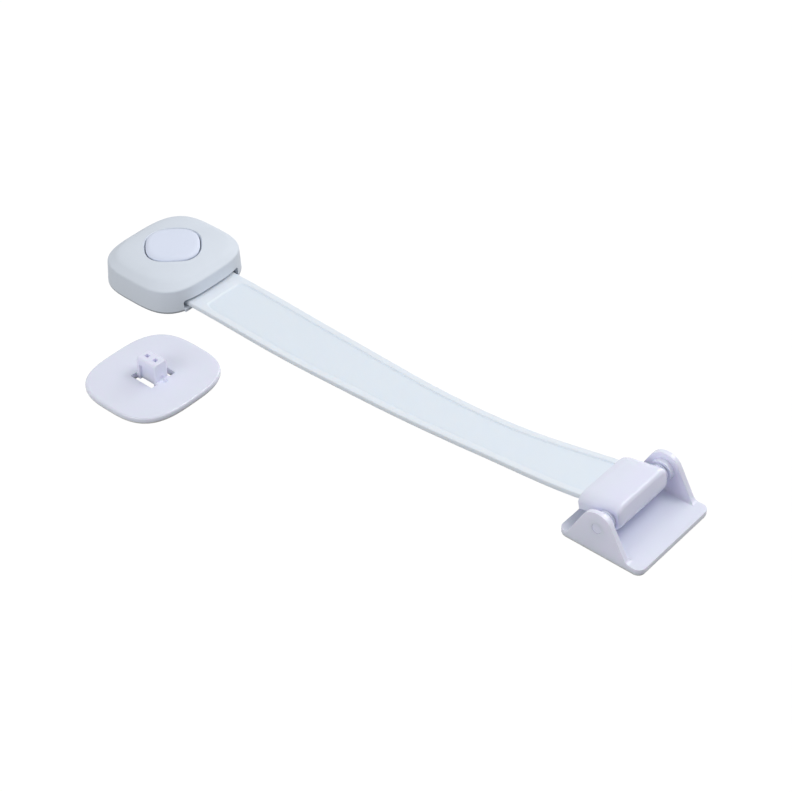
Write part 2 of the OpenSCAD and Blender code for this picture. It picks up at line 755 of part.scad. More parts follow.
module catch_plate() {
    half_l = post_len / 2;
    half_w = post_wid / 2;
    post_top = plate_top + post_h;
    under_top = post_top - lip_h;
    color(gloss_white) at_catch() difference() {
        union() {
            hull() for (t = [0, 30, 60, 90])
                let (in = plate_round * (1 - cos(t)))
                    squircle_bar(plate_a - in, plate_b - in, plate_square,
                                 pad_t, plate_top - plate_round * (1 - sin(t)));
            translate([-half_l, -half_w, plate_top - plate_round])
                cube([post_len, post_wid, post_h + plate_round]);
        }
        for (s = [-1, 1]) {
            // Undercut below the lip, and the window beside it
            translate([-half_l + post_end_wall, s > 0 ? half_w - lip_depth : -half_w - cut, pad_t - cut])
                cube([post_len - 2 * post_end_wall, lip_depth + cut, under_top - pad_t + cut]);
            translate([-half_l - window_over, s * (half_w + window_w / 2) - window_w / 2, pad_t - cut])
                cube([post_len + 2 * window_over, window_w, plate_t + 2 * cut]);
            translate([s * pit_pitch / 2 - pit_w / 2, -pit_w / 2, post_top - pit_deep])
                cube([pit_w, pit_w, pit_deep + cut]);
        }
        translate([half_l, -gate_w / 2, plate_top - gate_deep]) cube([gate_deep, gate_w, gate_deep + cut]);
    }
}

// The pad is cut out below the post and its windows
module catch_pad() {
    hole_l = post_len + 2 * window_over + 2 * pad_inset;
    hole_w = post_wid + 2 * window_w + 2 * pad_inset;
    color(foam_white) at_catch() difference() {
        squircle_bar(plate_a - pad_inset, plate_b - pad_inset, plate_square, 0, pad_t);
        translate([-hole_l / 2, -hole_w / 2, -cut]) cube([hole_l, hole_w, pad_t + 2 * cut]);
    }
}

base_bracket();
bracket_pad();
hinge_pin();
hinge_bush_near();
hinge_bush_far();
hinge_block();
strap_clamp();
clamp_screws();
strap();
head_shell();
head_cover();
head_screws();
push_button();
button_spring();
latch_jaw_near();
latch_jaw_far();
jaw_spring_near();
jaw_spring_far();
catch_plate();
catch_pad();
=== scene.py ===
"""Looks of a toilet lid lock, modelled round its fixed frame and laid out as an add-on."""

import math

import bmesh
import bpy
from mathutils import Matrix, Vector


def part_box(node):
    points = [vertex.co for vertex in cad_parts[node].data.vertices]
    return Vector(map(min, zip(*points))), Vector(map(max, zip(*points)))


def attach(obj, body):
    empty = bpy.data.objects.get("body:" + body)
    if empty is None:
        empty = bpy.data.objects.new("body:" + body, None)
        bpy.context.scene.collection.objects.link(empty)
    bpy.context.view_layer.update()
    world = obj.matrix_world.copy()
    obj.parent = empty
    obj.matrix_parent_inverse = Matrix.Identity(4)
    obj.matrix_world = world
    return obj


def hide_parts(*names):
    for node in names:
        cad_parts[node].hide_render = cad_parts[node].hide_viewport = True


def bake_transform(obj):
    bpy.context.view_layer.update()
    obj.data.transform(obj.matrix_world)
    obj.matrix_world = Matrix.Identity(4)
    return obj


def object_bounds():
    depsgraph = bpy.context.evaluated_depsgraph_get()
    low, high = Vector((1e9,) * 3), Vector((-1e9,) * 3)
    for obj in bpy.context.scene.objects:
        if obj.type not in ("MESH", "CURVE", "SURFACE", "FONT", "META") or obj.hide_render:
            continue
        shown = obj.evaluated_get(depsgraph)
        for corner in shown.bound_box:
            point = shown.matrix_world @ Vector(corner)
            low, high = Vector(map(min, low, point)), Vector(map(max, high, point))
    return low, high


bl_info = {
    "name": "Toilet Lid Lock",
    "version": (1, 0, 0),
    "blender": (4, 5, 0),
    "location": "View3D > Sidebar > Lid Lock",
    "description": "Models and finishes the pieces of a strap lock for a toilet lid",
    "category": "Add Mesh",
}

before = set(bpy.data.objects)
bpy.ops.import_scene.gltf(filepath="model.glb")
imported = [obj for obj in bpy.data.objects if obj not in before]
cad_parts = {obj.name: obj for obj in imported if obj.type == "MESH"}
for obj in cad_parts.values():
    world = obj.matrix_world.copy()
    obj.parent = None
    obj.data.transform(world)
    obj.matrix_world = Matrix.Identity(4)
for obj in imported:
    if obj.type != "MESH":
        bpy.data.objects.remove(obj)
CAD_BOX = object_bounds()

MM = 0.001
ORIGIN = (0.0, 0.0, 0.0)
# Distance under which two places count as the same
NEAR = 0.02 * MM
# Faces that meet at less than this angle are shaded as one surface
SMOOTH_ANGLE = math.radians(32)
# Facets of a quarter of a rounded square, and the distance at which its corners meet, before it is sized
CORNER_STEPS = 28
CORNER_NEAR = 0.001
# Facets of an arc, and of a quarter of a round bar
ARC_STEPS = 20


# Places that come from the frame


def middle(node):
    """The centre of a CAD node's box, on the ground."""
    low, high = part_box(node)
    return Vector(((low.x + high.x) / 2, (low.y + high.y) / 2, 0))


HEAD_PLACE = middle("push_button")
CATCH_PLACE = middle("catch_pad")
PIN_PLACE = Vector((middle("hinge_pin").x, 0, sum(c.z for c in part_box("hinge_pin")) / 2))
BUTTON_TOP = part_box("push_button")[1].z
PLATE_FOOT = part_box("catch_plate")[0].z
BASE_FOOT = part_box("base_bracket")[0].z


# Sizes and colours that a user would change


def length(name, description, size):
    """A length property, its default given in millimetres."""
    return bpy.props.FloatProperty(name=name, description=description, default=size * MM,
                                   unit="LENGTH", subtype="DISTANCE", precision=5)


def number(name, description, value):
    """A plain number property."""
    return bpy.props.FloatProperty(name=name, description=description, default=value)


def angle(name, description, degrees):
    """An angle property, its default given in degrees."""
    return bpy.props.FloatProperty(name=name, description=description, default=math.radians(degrees),
                                   unit="ROTATION", subtype="ANGLE")


def point(name, description, place):
    """A place property, in metres."""
    return bpy.props.FloatVectorProperty(name=name, description=description, default=place, size=3,
                                         subtype="XYZ", unit="LENGTH")


def colour(name, description, rgb):
    """A colour property."""
    return bpy.props.FloatVectorProperty(name=name, description=description, default=rgb,
                                         subtype="COLOR", size=3, min=0, max=1)


class HeadSizes(bpy.types.PropertyGroup):
    """Sizes of the lock head's casing."""
    length: length("Length", "Length of the head along the strap", 47)
    width: length("Width", "Width of the head across the strap", 52)
    square: number("Squareness", "Squareness of the outline, 2 is an ellipse", 3.3)
    side: length("Side height", "Height of the side wall up to its edge", 11.2)
    draft: length("Draft", "How far the side wall leans in", 0.6)
    edge: length("Edge", "Radius of the edge over the side wall", 1.2)
    rim: length("Rim", "Radius of the lower rim", 1.2)
    run: length("Shoulder", "Width of the sloping shoulder", 3.6)
    slope: angle("Shoulder slope", "Slope of the shoulder", 40)
    crease: length("Crease", "Softness of the crease between the shoulder and the crown", 1.7)
    sag: length("Sag", "How far the crown sags towards its crease", 0.35)
    crown: length("Crown", "Rise of the crowned top", 2.1)
    wall: length("Wall", "Wall of the casing", 2)
    slot_width: length("Slot width", "Width of the strap's slot", 32.2)
    slot_top: length("Slot top", "Height of the strap's slot", 5.5)
    slot_deep: length("Slot depth", "Depth of the strap's slot", 5)
    slot_round: length("Slot corner", "Radius of the slot's upper corners", 1.1)


class ButtonSizes(bpy.types.PropertyGroup):
    """Sizes of the push button and of its hole."""
    width: length("Width", "Width across the flats", 23)
    square: number("Squareness", "Squareness of the outline", 2.6)
    edge_w: length("Edge width", "Width of the rounded edge", 2.5)
    edge_h: length("Edge height", "Height of the rounded edge", 1.3)
    crown: length("Crown", "Rise of the top inside its rounded edge", 0.12)
    gap: length("Gap", "Open groove round the button", 0.36)
    bezel: length("Bezel", "Width of the sloping rim round the hole", 0.5)
    bezel_deep: length("Bezel depth", "Depth of the sloping rim", 0.5)
    lip: length("Lip", "Thickness of the edges on both sides of the groove", 0.3)
    under: length("Undercut", "How far the groove widens below its edges", 0.22)
    collar: length("Collar height", "Height of the lower end of the hole", 9.3)
    flange: length("Flange", "How far the flange stands out", 1.3)
    flange_gap: length("Flange gap", "Gap between the flange and the lower end of the hole", 0.1)
    flange_thick: length("Flange thickness", "Thickness of the flange", 1.3)
    wall: length("Wall", "Wall of the skirt", 1.6)
    roof: length("Roof", "Thickness of the top", 1.8)
    leg_place: length("Leg place", "Distance of a wedge leg from the middle", 8.9)
    leg_length: length("Leg length", "Length of a leg along the strap", 3)
    leg_half: length("Leg half", "Half the width of a leg at its shoulder", 2.96)
    leg_tip: length("Leg tip", "Half the width of a leg at its tip", 1.1)
    leg_shoulder: length("Leg shoulder", "Height at which a leg starts to narrow", 7.4)
    leg_root: length("Leg root", "How far a leg goes into the top", 0.2)


class StrapSizes(bpy.types.PropertyGroup):
    """Sizes of the strap and of the way it runs."""
    head_w: length("Head width", "Width at the head", 27.4)
    waist_w: length("Waist width", "Width at the waist", 21.6)
    hinge_w: length("Hinge width", "Width at the hinge block", 25.2)
    waist_x: length("Waist place", "Distance of the waist from the bracket's centre", 65)
    thick: length("Thickness", "Thickness at the border", 2.3)
    border: length("Border", "Width of the raised border", 2.6)
    recess: length("Recess", "Depth of the panel between the borders", 0.5)
    step: length("Step", "Width of the slope between border and panel", 0.5)
    end_step: length("End step", "Width of that slope at the panel's end by the head", 1.3)
    corner: length("Panel corner", "Radius of the panel's corners", 2.5)
    edge: length("Edge", "Radius of the long edges", 0.5)
    slope: angle("Slope", "Slope of the climb to the hinge", 11.5)
    bend: length("Bend", "Radius of the bend at the foot of the climb", 520)
    lift: length("Lift", "Height of the flat run above the ground", 0.3)
    tab_z: length("Tab height", "Height of the strap's end in the head", 1.7)
    tab_in: length("Tab place", "Distance of the strap's end from the head's centre", 12.8)
    tab_out: length("Tab length", "Length of the level run in front of the head", 2)
    settle: length("Settle", "Length over which the strap comes down from the head", 60)
    taper: length("Taper", "Length of the even run before the strap is drawn in", 24)


class BracketSizes(bpy.types.PropertyGroup):
    """Sizes of the hinge bracket."""
    length: length("Length", "Length of the base plate", 36.4)
    width: length("Width", "Width of the base plate", 44.6)
    thick: length("Thickness", "Thickness of the base plate", 2.2)
    corner: length("Corner", "Corner radius of the base plate", 3)
    edge: length("Edge", "Radius of the outer edges", 0.7)
    ear_inside: length("Ear spacing", "Clear width between the ears", 40.2)
    ear_r: length("Ear radius", "Radius of an ear's round top", 7.1)
    foot_back: length("Foot back", "Reach of an ear's foot towards the strap", 12.6)
    foot_front: length("Foot front", "Reach of an ear's foot away from the strap", 13.4)
    fillet: length("Fillet", "Radius of the fillet at an ear's foot", 1.5)
    boss_r: length("Boss radius", "Radius of the boss inside an ear", 4.7)
    boss_thick: length("Boss height", "Height of the boss inside an ear", 2.3)
    bore_r: length("Bore radius", "Radius of the pin's holes", 2.05)


class BlockSizes(bpy.types.PropertyGroup):
    """Sizes of the hinge block."""
    width: length("Width", "Width of the block", 30.8)
    barrel_r: length("Barrel radius", "Radius of the barrel round the pin", 5.5)
    reach: length("Reach", "Length from the pin to the strap end", 12.8)
    ramp: length("Ramp", "Length of the ramp at the strap end", 2.7)
    drop: length("Drop", "Drop of the ramp", 0.6)
    roof: length("Roof", "Plastic above the strap", 2.1)
    floor: length("Floor", "Plastic below the strap", 1.7)
    seat: length("Seat", "Height of the strap's underside above the pin", 1.8)
    front_r: length("Front radius", "Radius of the front edge", 2)
    side_run: length("Side run", "Width over which the top falls away to each side", 5.4)
    side_fall: length("Side fall", "How far the top falls at the sides", 2.8)
    end_run: length("End run", "Width over which the front is rounded at each end", 2.4)
    end_back: length("End back", "How far the front draws back at each end", 1.5)
    ridge: length("Ridge", "Softness of the ridge before the ramp", 0.35)
    edge: length("Edge", "Radius of the other edges", 0.5)
    grip: length("Grip", "Depth of the strap inside the block", 7.2)
    clamp_side: length("Clamp side", "Width of the clamp beside the strap", 1.4)
    gap: length("Gap", "Gap round what lies in the block", 0.1)


class CatchSizes(bpy.types.PropertyGroup):
    """Sizes of the catch plate."""
    length: length("Length", "Length of the plate", 45)
    width: length("Width", "Width of the plate", 50)
    square: number("Squareness", "Squareness of the outline", 3.05)
    thick: length("Thickness", "Thickness of the plate", 2.6)
    edge: length("Edge", "Radius of the upper edge", 1)
    fall: length("Fall", "How far the top falls from the middle to the edge", 0.5)
    post_len: length("Post length", "Length of the post", 10.2)
    post_wid: length("Post width", "Width of the post over its lips", 6.7)
    post_high: length("Post height", "Height of the post above the plate", 8.1)
    post_edge: length("Post edge", "Radius of the post's edges", 0.4)
    lip_round: length("Lip rounding", "Rounding of the lips' upper edges", 1)
    lip_high: length("Lip height", "Height of the lips", 3.6)
    lip_deep: length("Lip depth", "Depth of the undercut below the lips", 1.1)
    end_wall: length("End wall", "Wall at each end of the undercut", 1.2)
    window: length("Window", "Width of the window beside the post", 3.2)
    window_over: length("Window ends", "How far a window goes past the post", 0.9)
    pit: length("Pit", "Width of a pit in the post's top", 1.8)
    pit_deep: length("Pit depth", "Depth of a pit", 1.5)
    pit_pitch: length("Pit pitch", "Distance between the pits", 4.5)
    gate: length("Gate", "Width of the round recess at the post's foot", 3)
    gate_deep: length("Gate depth", "Depth of that recess", 1)


class PadSizes(bpy.types.PropertyGroup):
    """Sizes of the foam pads."""
    thick: length("Thickness", "Thickness of the foam", 0.9)
    inset: length("Inset", "Margin of a pad inside its plate", 0.25)
    bulge: length("Bulge", "How far the foam's edge swells", 0.15)


class SpringSizes(bpy.types.PropertyGroup):
    """Wire and turns of the three springs."""
    button_wire: length("Button wire", "Wire of the button's spring", 0.5)
    button_turns: number("Button turns", "Turns of the button's spring", 3)
    jaw_wire: length("Jaw wire", "Wire of the jaws' springs", 0.45)
    jaw_turns: number("Jaw turns", "Turns of each jaw's spring", 5)


class Finishes(bpy.types.PropertyGroup):
    """Colours of the pieces."""
    head: colour("Head", "Casing of the lock head", (0.70, 0.755, 0.835))
    button: colour("Button", "Push button", (0.73, 0.785, 0.925))
    white: colour("Hinge white", "Bracket, hinge block and catch plate", (0.775, 0.793, 0.962))
    strap: colour("Strap", "Raised border of the strap", (0.785, 0.842, 0.918))
    panel: colour("Panel", "Panel of the strap", (0.758, 0.831, 0.922))
    foam: colour("Foam", "Adhesive foam pads", (0.74, 0.75, 0.74))
    steel: colour("Steel", "Screws and springs", (0.56, 0.57, 0.59))


class StageSettings(bpy.types.PropertyGroup):
    """Camera and light."""
    lens: bpy.props.FloatProperty(name="Lens", description="Focal length of the camera", default=89.507,
                                  unit="CAMERA")
    camera: point("Camera", "Place of the camera", (0.27399, -0.45681, 0.49660))
    aim: point("Aim", "Point that the camera and the lamps look at", (-0.11377, -0.00080, 0.0))
    key: number("Key light", "Power of the high lamp at the back, in watts", 3.2)
    key_from: point("Key place", "Place of the key light, from the aim", (0.29, 0.42, 0.74))
    fill: number("Fill light", "Power of the low lamp at the front, in watts", 2.7)
    fill_from: point("Fill place", "Place of the fill light, from the aim", (-0.12, -0.81, 0.38))
    rim: number("Rim light", "Power of the low lamp at the back, in watts", 2.14)
    rim_from: point("Rim place", "Place of the rim light, from the aim", (0, 0.816, 0.38))
    lamp_size: length("Lamp size", "Side of each square lamp", 500)
    ambient: number("Ambient", "Strength of the light from all round", 0.44)
    floor_pale: number("Floor shade", "How much light the floor throws back", 0.25)
    floor_white: number("Floor white", "Share of plain white in the floor", 0.86)
    floor_glow: number("Floor glow", "Strength of that white", 1.16)
    floor_size: length("Floor size", "Side of the floor", 6000)
    floor_gap: length("Floor gap", "How far the floor lies below the part", 0.3)


class LidLock(bpy.types.PropertyGroup):
    """All the settings of the lid lock."""
    head: bpy.props.PointerProperty(type=HeadSizes)
    button: bpy.props.PointerProperty(type=ButtonSizes)
    strap: bpy.props.PointerProperty(type=StrapSizes)
    bracket: bpy.props.PointerProperty(type=BracketSizes)
    block: bpy.props.PointerProperty(type=BlockSizes)
    catch: bpy.props.PointerProperty(type=CatchSizes)
    pad: bpy.props.PointerProperty(type=PadSizes)
    spring: bpy.props.PointerProperty(type=SpringSizes)
    finish: bpy.props.PointerProperty(type=Finishes)
    stage: bpy.props.PointerProperty(type=StageSettings)


# Modelling by hand


def only(piece):
    """Selects one piece and makes it active."""
    bpy.ops.object.select_all(action="DESELECT")
    piece.select_set(True)
    bpy.context.view_layer.objects.active = piece


def start(name, add, **settings):
    """Adds a primitive as a new piece and goes into edit mode, with all of it selected."""
    bpy.ops.object.select_all(action="DESELECT")
    add(**settings)
    piece = bpy.context.object
    piece.name = name
    piece.data.name = name
    bpy.ops.object.mode_set(mode="EDIT")
    bpy.ops.mesh.select_all(action="SELECT")
    return piece


def reopen(piece):
    """Goes back into a piece's edit mode, with all of it selected."""
    only(piece)
    bpy.ops.object.mode_set(mode="EDIT")
    bpy.ops.mesh.select_all(action="SELECT")


def leave():
    """Makes the normals of the mesh in edit mode point outwards and leaves edit mode."""
    bpy.ops.mesh.select_all(action="SELECT")
    bpy.ops.mesh.normals_make_consistent(inside=False)
    bpy.ops.object.mode_set(mode="OBJECT")


def pick(kind, test):
    """Selects the vertices, edges or faces of the mesh in edit mode that pass a test."""
    data = bpy.context.edit_object.data
    bpy.ops.mesh.select_mode(type=kind)
    bpy.ops.mesh.select_all(action="DESELECT")
    mesh = bmesh.from_edit_mesh(data)
    for part in {"VERT": mesh.verts, "EDGE": mesh.edges, "FACE": mesh.faces}[kind]:
        if test(part):
            part.select_set(True)
    mesh.select_flush_mode()
    bmesh.update_edit_mesh(data)


def level(part, z):
    """Whether all the vertices of an edge or a face lie at a height."""
    return all(abs(v.co.z - z) < NEAR for v in part.verts)


def sharp(edge):
    """Whether an edge is a ridge that catches the light."""
    return len(edge.link_faces) == 2 and edge.calc_face_angle_signed() > SMOOTH_ANGLE


def open_edge(edge, low=-math.inf):
    """Whether an edge bounds an open hole above a height."""
    return len(edge.link_faces) < 2 and all(v.co.z > low for v in edge.verts)


def shape(move):
    """Moves every vertex of the mesh in edit mode to the place that a function gives."""
    data = bpy.context.edit_object.data
    mesh = bmesh.from_edit_mesh(data)
    for vert in mesh.verts:
        vert.co = move(vert.co)
    bmesh.update_edit_mesh(data)


def extrude(by):
    """Extrudes what is selected and moves it."""
    bpy.ops.mesh.extrude_region_move(TRANSFORM_OT_translate={"value": by})


def shift(by):
    """Moves what is selected."""
    bpy.ops.transform.translate(value=by)


def resize(by, centre=ORIGIN):
    """Scales what is selected about a point."""
    bpy.ops.transform.resize(value=by, center_override=centre)


def rotate(turn, axis):
    """Turns what is selected about an axis through the origin."""
    bpy.ops.transform.rotate(value=turn, orient_axis=axis, center_override=ORIGIN)


def start_rounded_square(name, half_x, half_y, square, z, turn=0.0):
    """Starts a piece as a flat rounded square: a plane whose corners are bevelled all the way."""
    piece = start(name, bpy.ops.mesh.primitive_plane_add, size=2)
    bpy.ops.mesh.select_mode(type="VERT")
    bpy.ops.mesh.bevel(offset=1, segments=CORNER_STEPS, profile=2 ** (-2 / square), affect="VERTICES",
                       clamp_overlap=False)
    bpy.ops.mesh.remove_doubles(threshold=CORNER_NEAR)
    bpy.ops.mesh.select_all(action="SELECT")
    if turn:
        rotate(turn, "Z")
    resize((half_x, half_y, 1))
    shift((0, 0, z))
    bpy.ops.mesh.select_mode(type="FACE")
    return piece


def grow(rings, half_x, half_y):
    """Extrudes the selected face through rings of (inset, height) that keep its outline."""
    for (last_in, last_z), (inset, z) in zip(rings, rings[1:]):
        extrude((0, 0, z - last_z))
        share = ((half_x - inset) / (half_x - last_in), (half_y - inset) / (half_y - last_in), 1)
        resize(share)


def bevel(width, steps=3):
    """Rounds the selected edges."""
    bpy.ops.mesh.bevel(offset=width, segments=steps, profile=0.5, affect="EDGES", clamp_overlap=True)


def start_outline(name, points, stations):
    """Starts a piece as an outline in x and z, drawn out along y from station to station."""
    piece = start(name, bpy.ops.mesh.primitive_circle_add, vertices=len(points), fill_type="NGON")
    mesh = bmesh.from_edit_mesh(piece.data)
    mesh.verts.ensure_lookup_table()
    for vert, (x, z) in zip(mesh.verts, points):
        vert.co = (x, stations[0], z)
    bmesh.update_edit_mesh(piece.data)
    bpy.ops.mesh.select_mode(type="FACE")
    for last, y in zip(stations, stations[1:]):
        extrude((0, y - last, 0))
    bpy.ops.mesh.select_all(action="SELECT")
    bpy.ops.mesh.normals_make_consistent(inside=False)
    return piece


def arc(x, z, radius, first, last, steps=ARC_STEPS):
    """Points of an arc round x, z, between two angles in degrees."""
    turns = [math.radians(first + (last - first) * i / steps) for i in range(steps + 1)]
    return [(x + radius * math.cos(t), z + radius * math.sin(t)) for t in turns]


def sweep(degrees, steps):
    """Angles from 0 to an angle that is given in degrees, in even steps."""
    return [math.radians(degrees * i / steps) for i in range(steps + 1)]


def start_box(name, low, high):
    """Starts a piece as a box between two corners."""
    low, high = Vector(low), Vector(high)
    piece = start(name, bpy.ops.mesh.primitive_cube_add, size=1)
    resize(high - low)
    shift((low + high) / 2)
    return piece


def box_tool(low, high):
    """A plain box that cuts another piece."""
    piece = start_box("cutter", low, high)
    leave()
    return piece


def bar_tool(radius, y_low, y_high, x=0.0, z=0.0):
    """A round bar along y that joins or cuts another piece."""
    piece = start("bar", bpy.ops.mesh.primitive_cylinder_add, vertices=4 * ARC_STEPS, radius=radius,
                  depth=y_high - y_low)
    rotate(math.pi / 2, "X")
    shift((x, (y_low + y_high) / 2, z))
    leave()
    return piece


def finish_with(piece, kind, **settings):
    """Adds a modifier to a piece and applies it."""
    only(piece)
    bpy.ops.object.modifier_add(type=kind)
    modifier = piece.modifiers[-1]
    for name, value in settings.items():
        setattr(modifier, name, value)
    bpy.ops.object.modifier_apply(modifier=modifier.name)


def combine(piece, tool, operation):
    """Joins a tool to a piece or cuts it away, and removes the tool."""
    finish_with(piece, "BOOLEAN", operation=operation, solver="EXACT", object=tool)
    bpy.data.objects.remove(tool)


def cut(piece, *tools):
    """Cuts tools out of a piece."""
    for tool in tools:
        combine(piece, tool, "DIFFERENCE")


def join(piece, *tools):
    """Joins tools to a piece."""
    for tool in tools:
        combine(piece, tool, "UNION")


def put(piece, place, turn=0.0):
    """Turns a piece about y, puts it at its place, and keeps that in its mesh."""
    piece.location = place
    piece.rotation_euler = (0, turn, 0)
    only(piece)
    bpy.ops.object.transform_apply(location=True, rotation=True, scale=True)


def dress(piece, material, slot, *nodes):
    """Shades a finished piece, gives it its finish and lets it stand for its CAD nodes."""
    only(piece)
    bpy.ops.object.shade_smooth_by_angle(angle=SMOOTH_ANGLE)
    finish_with(piece, "WEIGHTED_NORMAL", keep_sharp=True)
    piece.data.materials.clear()
    piece.data.materials.append(material)
    if nodes:
        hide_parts(*nodes)


# Finishes


class Value:
    """A shader socket that works in plain expressions; each operator adds a Math node."""

    def __init__(self, finish, socket):
        self.finish = finish
        self.socket = socket

    def math(self, operation, first, second):
        return self.finish.node("ShaderNodeMath", {"operation": operation}, {0: first, 1: second})

    def __add__(self, other):
        return self.math("ADD", self, other)

    def __radd__(self, other):
        return self.math("ADD", other, self)

    def __mul__(self, other):
        return self.math("MULTIPLY", self, other)

    def __rmul__(self, other):
        return self.math("MULTIPLY", other, self)


class Finish:
    """The nodes of a new material or world."""

    def __init__(self, owner):
        owner.use_nodes = True
        self.tree = owner.node_tree
        self.tree.nodes.clear()

    def node(self, kind, settings=None, inputs=None, output=0):
        """Adds any node: its settings first, then the values or links of its sockets."""
        made = self.tree.nodes.new(kind)
        for name, value in (settings or {}).items():
            setattr(made, name, value)
        for name, value in (inputs or {}).items():
            if isinstance(value, Value):
                self.tree.links.new(value.socket, made.inputs[name])
            else:
                made.inputs[name].default_value = value
        return Value(self, made.outputs[output]) if made.outputs else None

    def place(self):
        """The piece's own coordinates."""
        return self.node("ShaderNodeTexCoord", output="Object")

    def noise(self, scale, detail=2.0, stretch=(1, 1, 1)):
        """A noise on the piece's own coordinates, in features a metre."""
        place = self.node("ShaderNodeMapping", None, {"Vector": self.place(), "Scale": stretch})
        return self.node("ShaderNodeTexNoise", None, {"Vector": place, "Scale": scale, "Detail": detail})

    def tint(self, mask, low, high):
        """A colour between two colours, either of which may vary itself."""
        low, high = (end if isinstance(end, Value) else (*end, 1) for end in (low, high))
        return self.node("ShaderNodeMix", {"data_type": "RGBA"}, {0: mask, 6: low, 7: high}, output=2)

    def mottle(self, mask, rgb, low, high):
        """A colour that varies between two shades of itself."""
        return self.tint(mask, shade(rgb, low), shade(rgb, high))

    def bump(self, height, depth):
        """A normal from a height between 0 and 1, in metres of depth."""
        return self.node("ShaderNodeBump", None, {"Strength": 1.0, "Distance": depth, "Height": height})

    def surface(self, **inputs):
        """Ends the material in one plastic, rubber or metal surface."""
        named = {name.replace("_", " "): value for name, value in inputs.items()}
        shader = self.node("ShaderNodeBsdfPrincipled", None, named)
        self.node("ShaderNodeOutputMaterial", None, {"Surface": shader})


def new_finish(name):
    """The nodes of a new material."""
    return Finish(bpy.data.materials.new(name))


# The strap's attribute that tells its panel from its border
PANEL_LAYER = "panel"


def shade(rgb, share):
    """A colour made lighter or darker by a share."""
    return tuple(min(1.0, c * share) for c in rgb)


# Features a metre in the patterns of the finishes
GRAIN_SCALE = 4200
CLOUD_SCALE = 70
FLOW_SCALE = 45
RIPPLE_SCALE = 380
WAVE_SCALE = 60
SKIN_SCALE = 1500
CELL_SCALE = 2600
MARK_SCALE = 2200
# How patterns are drawn out along a piece, and marks along a wire or a screw
FLOW_STRETCH = (0.35, 1, 1)
WAVE_STRETCH = (0.5, 1, 1)
MARK_STRETCH = (1, 1, 0.12)
# How far red, green and blue light go under the surface
WHITE_SCATTER = (5 * MM, 3.5 * MM, 4.5 * MM)
STRAP_SCATTER = (4 * MM, 5 * MM, 6 * MM)
# Heights between which the painted shade at the head's foot, which stands in for its contact shadow,
# fades out
PAINTED_SHADE_LOW = 1.0 * MM
PAINTED_SHADE_HIGH = 1.5 * MM


def matte_moulding(name, rgb, foot):
    """Spark-textured plastic: a fine grain, faint clouds and a painted shade at its foot that stands in
    for its contact shadow.
    """
    finish = new_finish(name)
    grain = finish.noise(GRAIN_SCALE, detail=3)
    cloud = finish.noise(CLOUD_SCALE, detail=3)
    # Painted shade: below these heights the colour darkens to the foot's shade, standing in for the
    # contact shadow on the floor
    height = finish.node("ShaderNodeSeparateXYZ", None, {"Vector": finish.place()}, "Z")
    fade = {"From Min": PAINTED_SHADE_LOW, "From Max": PAINTED_SHADE_HIGH, "To Min": 1.0, "To Max": 0.0}
    painted_foot_shade = finish.node("ShaderNodeMapRange", None, {"Value": height, **fade})
    finish.surface(
        Base_Color=finish.tint(painted_foot_shade, finish.mottle(cloud, rgb, 0.975, 1.025), shade(rgb, foot)),
        Roughness=0.50 + 0.12 * grain,
        Normal=finish.bump(grain, 0.03 * MM),
        IOR=1.46)


def gloss_moulding(name, rgb, depth):
    """Polished plastic: flow marks along the piece, a faint ripple in the gloss and some depth."""
    finish = new_finish(name)
    flow = finish.noise(FLOW_SCALE, stretch=FLOW_STRETCH)
    ripple = finish.noise(RIPPLE_SCALE)
    finish.surface(
        Base_Color=finish.mottle(flow, rgb, 0.98, 1.02),
        Roughness=0.13 + 0.08 * ripple,
        Normal=finish.bump(ripple, 0.012 * MM),
        Subsurface_Weight=depth,
        Subsurface_Radius=WHITE_SCATTER,
        Subsurface_Scale=1.0,
        IOR=1.48)


def soft_strap(name, border, panel):
    """Clear soft plastic: the panel is a deeper tone than the border, with a faint wave in the gloss."""
    finish = new_finish(name)
    inside = finish.node("ShaderNodeAttribute", {"attribute_name": PANEL_LAYER}, output="Fac")
    wave = finish.noise(WAVE_SCALE, stretch=WAVE_STRETCH)
    skin = finish.noise(SKIN_SCALE)
    finish.surface(
        Base_Color=finish.tint(inside * (0.86 + 0.28 * wave), border, panel),
        Roughness=0.30 + 0.12 * skin,
        Normal=finish.bump(skin, 0.008 * MM),
        Subsurface_Weight=0.25,
        Subsurface_Radius=STRAP_SCATTER,
        Subsurface_Scale=0.5,
        IOR=1.45)


def foam(name, rgb):
    """Closed-cell foam tape."""
    finish = new_finish(name)
    cells = finish.node("ShaderNodeTexVoronoi", None, {"Vector": finish.place(), "Scale": CELL_SCALE})
    finish.surface(
        Base_Color=finish.mottle(cells, rgb, 0.85, 1.05),
        Roughness=0.85 + 0.1 * cells,
        Normal=finish.bump(cells, 0.12 * MM))


def plain_steel(name, rgb):
    """Drawn and turned steel with fine marks along it."""
    finish = new_finish(name)
    marks = finish.noise(MARK_SCALE, stretch=MARK_STRETCH)
    finish.surface(
        Base_Color=finish.mottle(marks, rgb, 0.85, 1.1),
        Roughness=0.24 + 0.18 * marks,
        Normal=finish.bump(marks, 0.006 * MM),
        Metallic=1.0)


class LIDLOCK_OT_finishes(bpy.types.Operator):
    """Makes the finishes that the pieces share"""
    bl_idname = "lidlock.finishes"
    bl_label = "Finishes"

    def execute(self, context):
        rgb = context.scene.lid_lock.finish
        # The head's finish is painted darker at its foot, a painted contact shadow; the cover's and the
        # button's finishes are not
        matte_moulding("head_moulding", rgb.head, foot=0.42)
        matte_moulding("cover_moulding", rgb.head, foot=1.0)
        matte_moulding("button_moulding", rgb.button, foot=1.0)
        gloss_moulding("white_moulding", rgb.white, depth=0.35)
        gloss_moulding("solid_white", rgb.white, depth=0.0)
        soft_strap("strap_plastic", rgb.strap, rgb.panel)
        foam("pad_tape", rgb.foam)
        plain_steel("plain_steel", rgb.steel)
        return {"FINISHED"}


def finish_named(name):
    """A finish that has been made."""
    return bpy.data.materials[name]


# Lock head


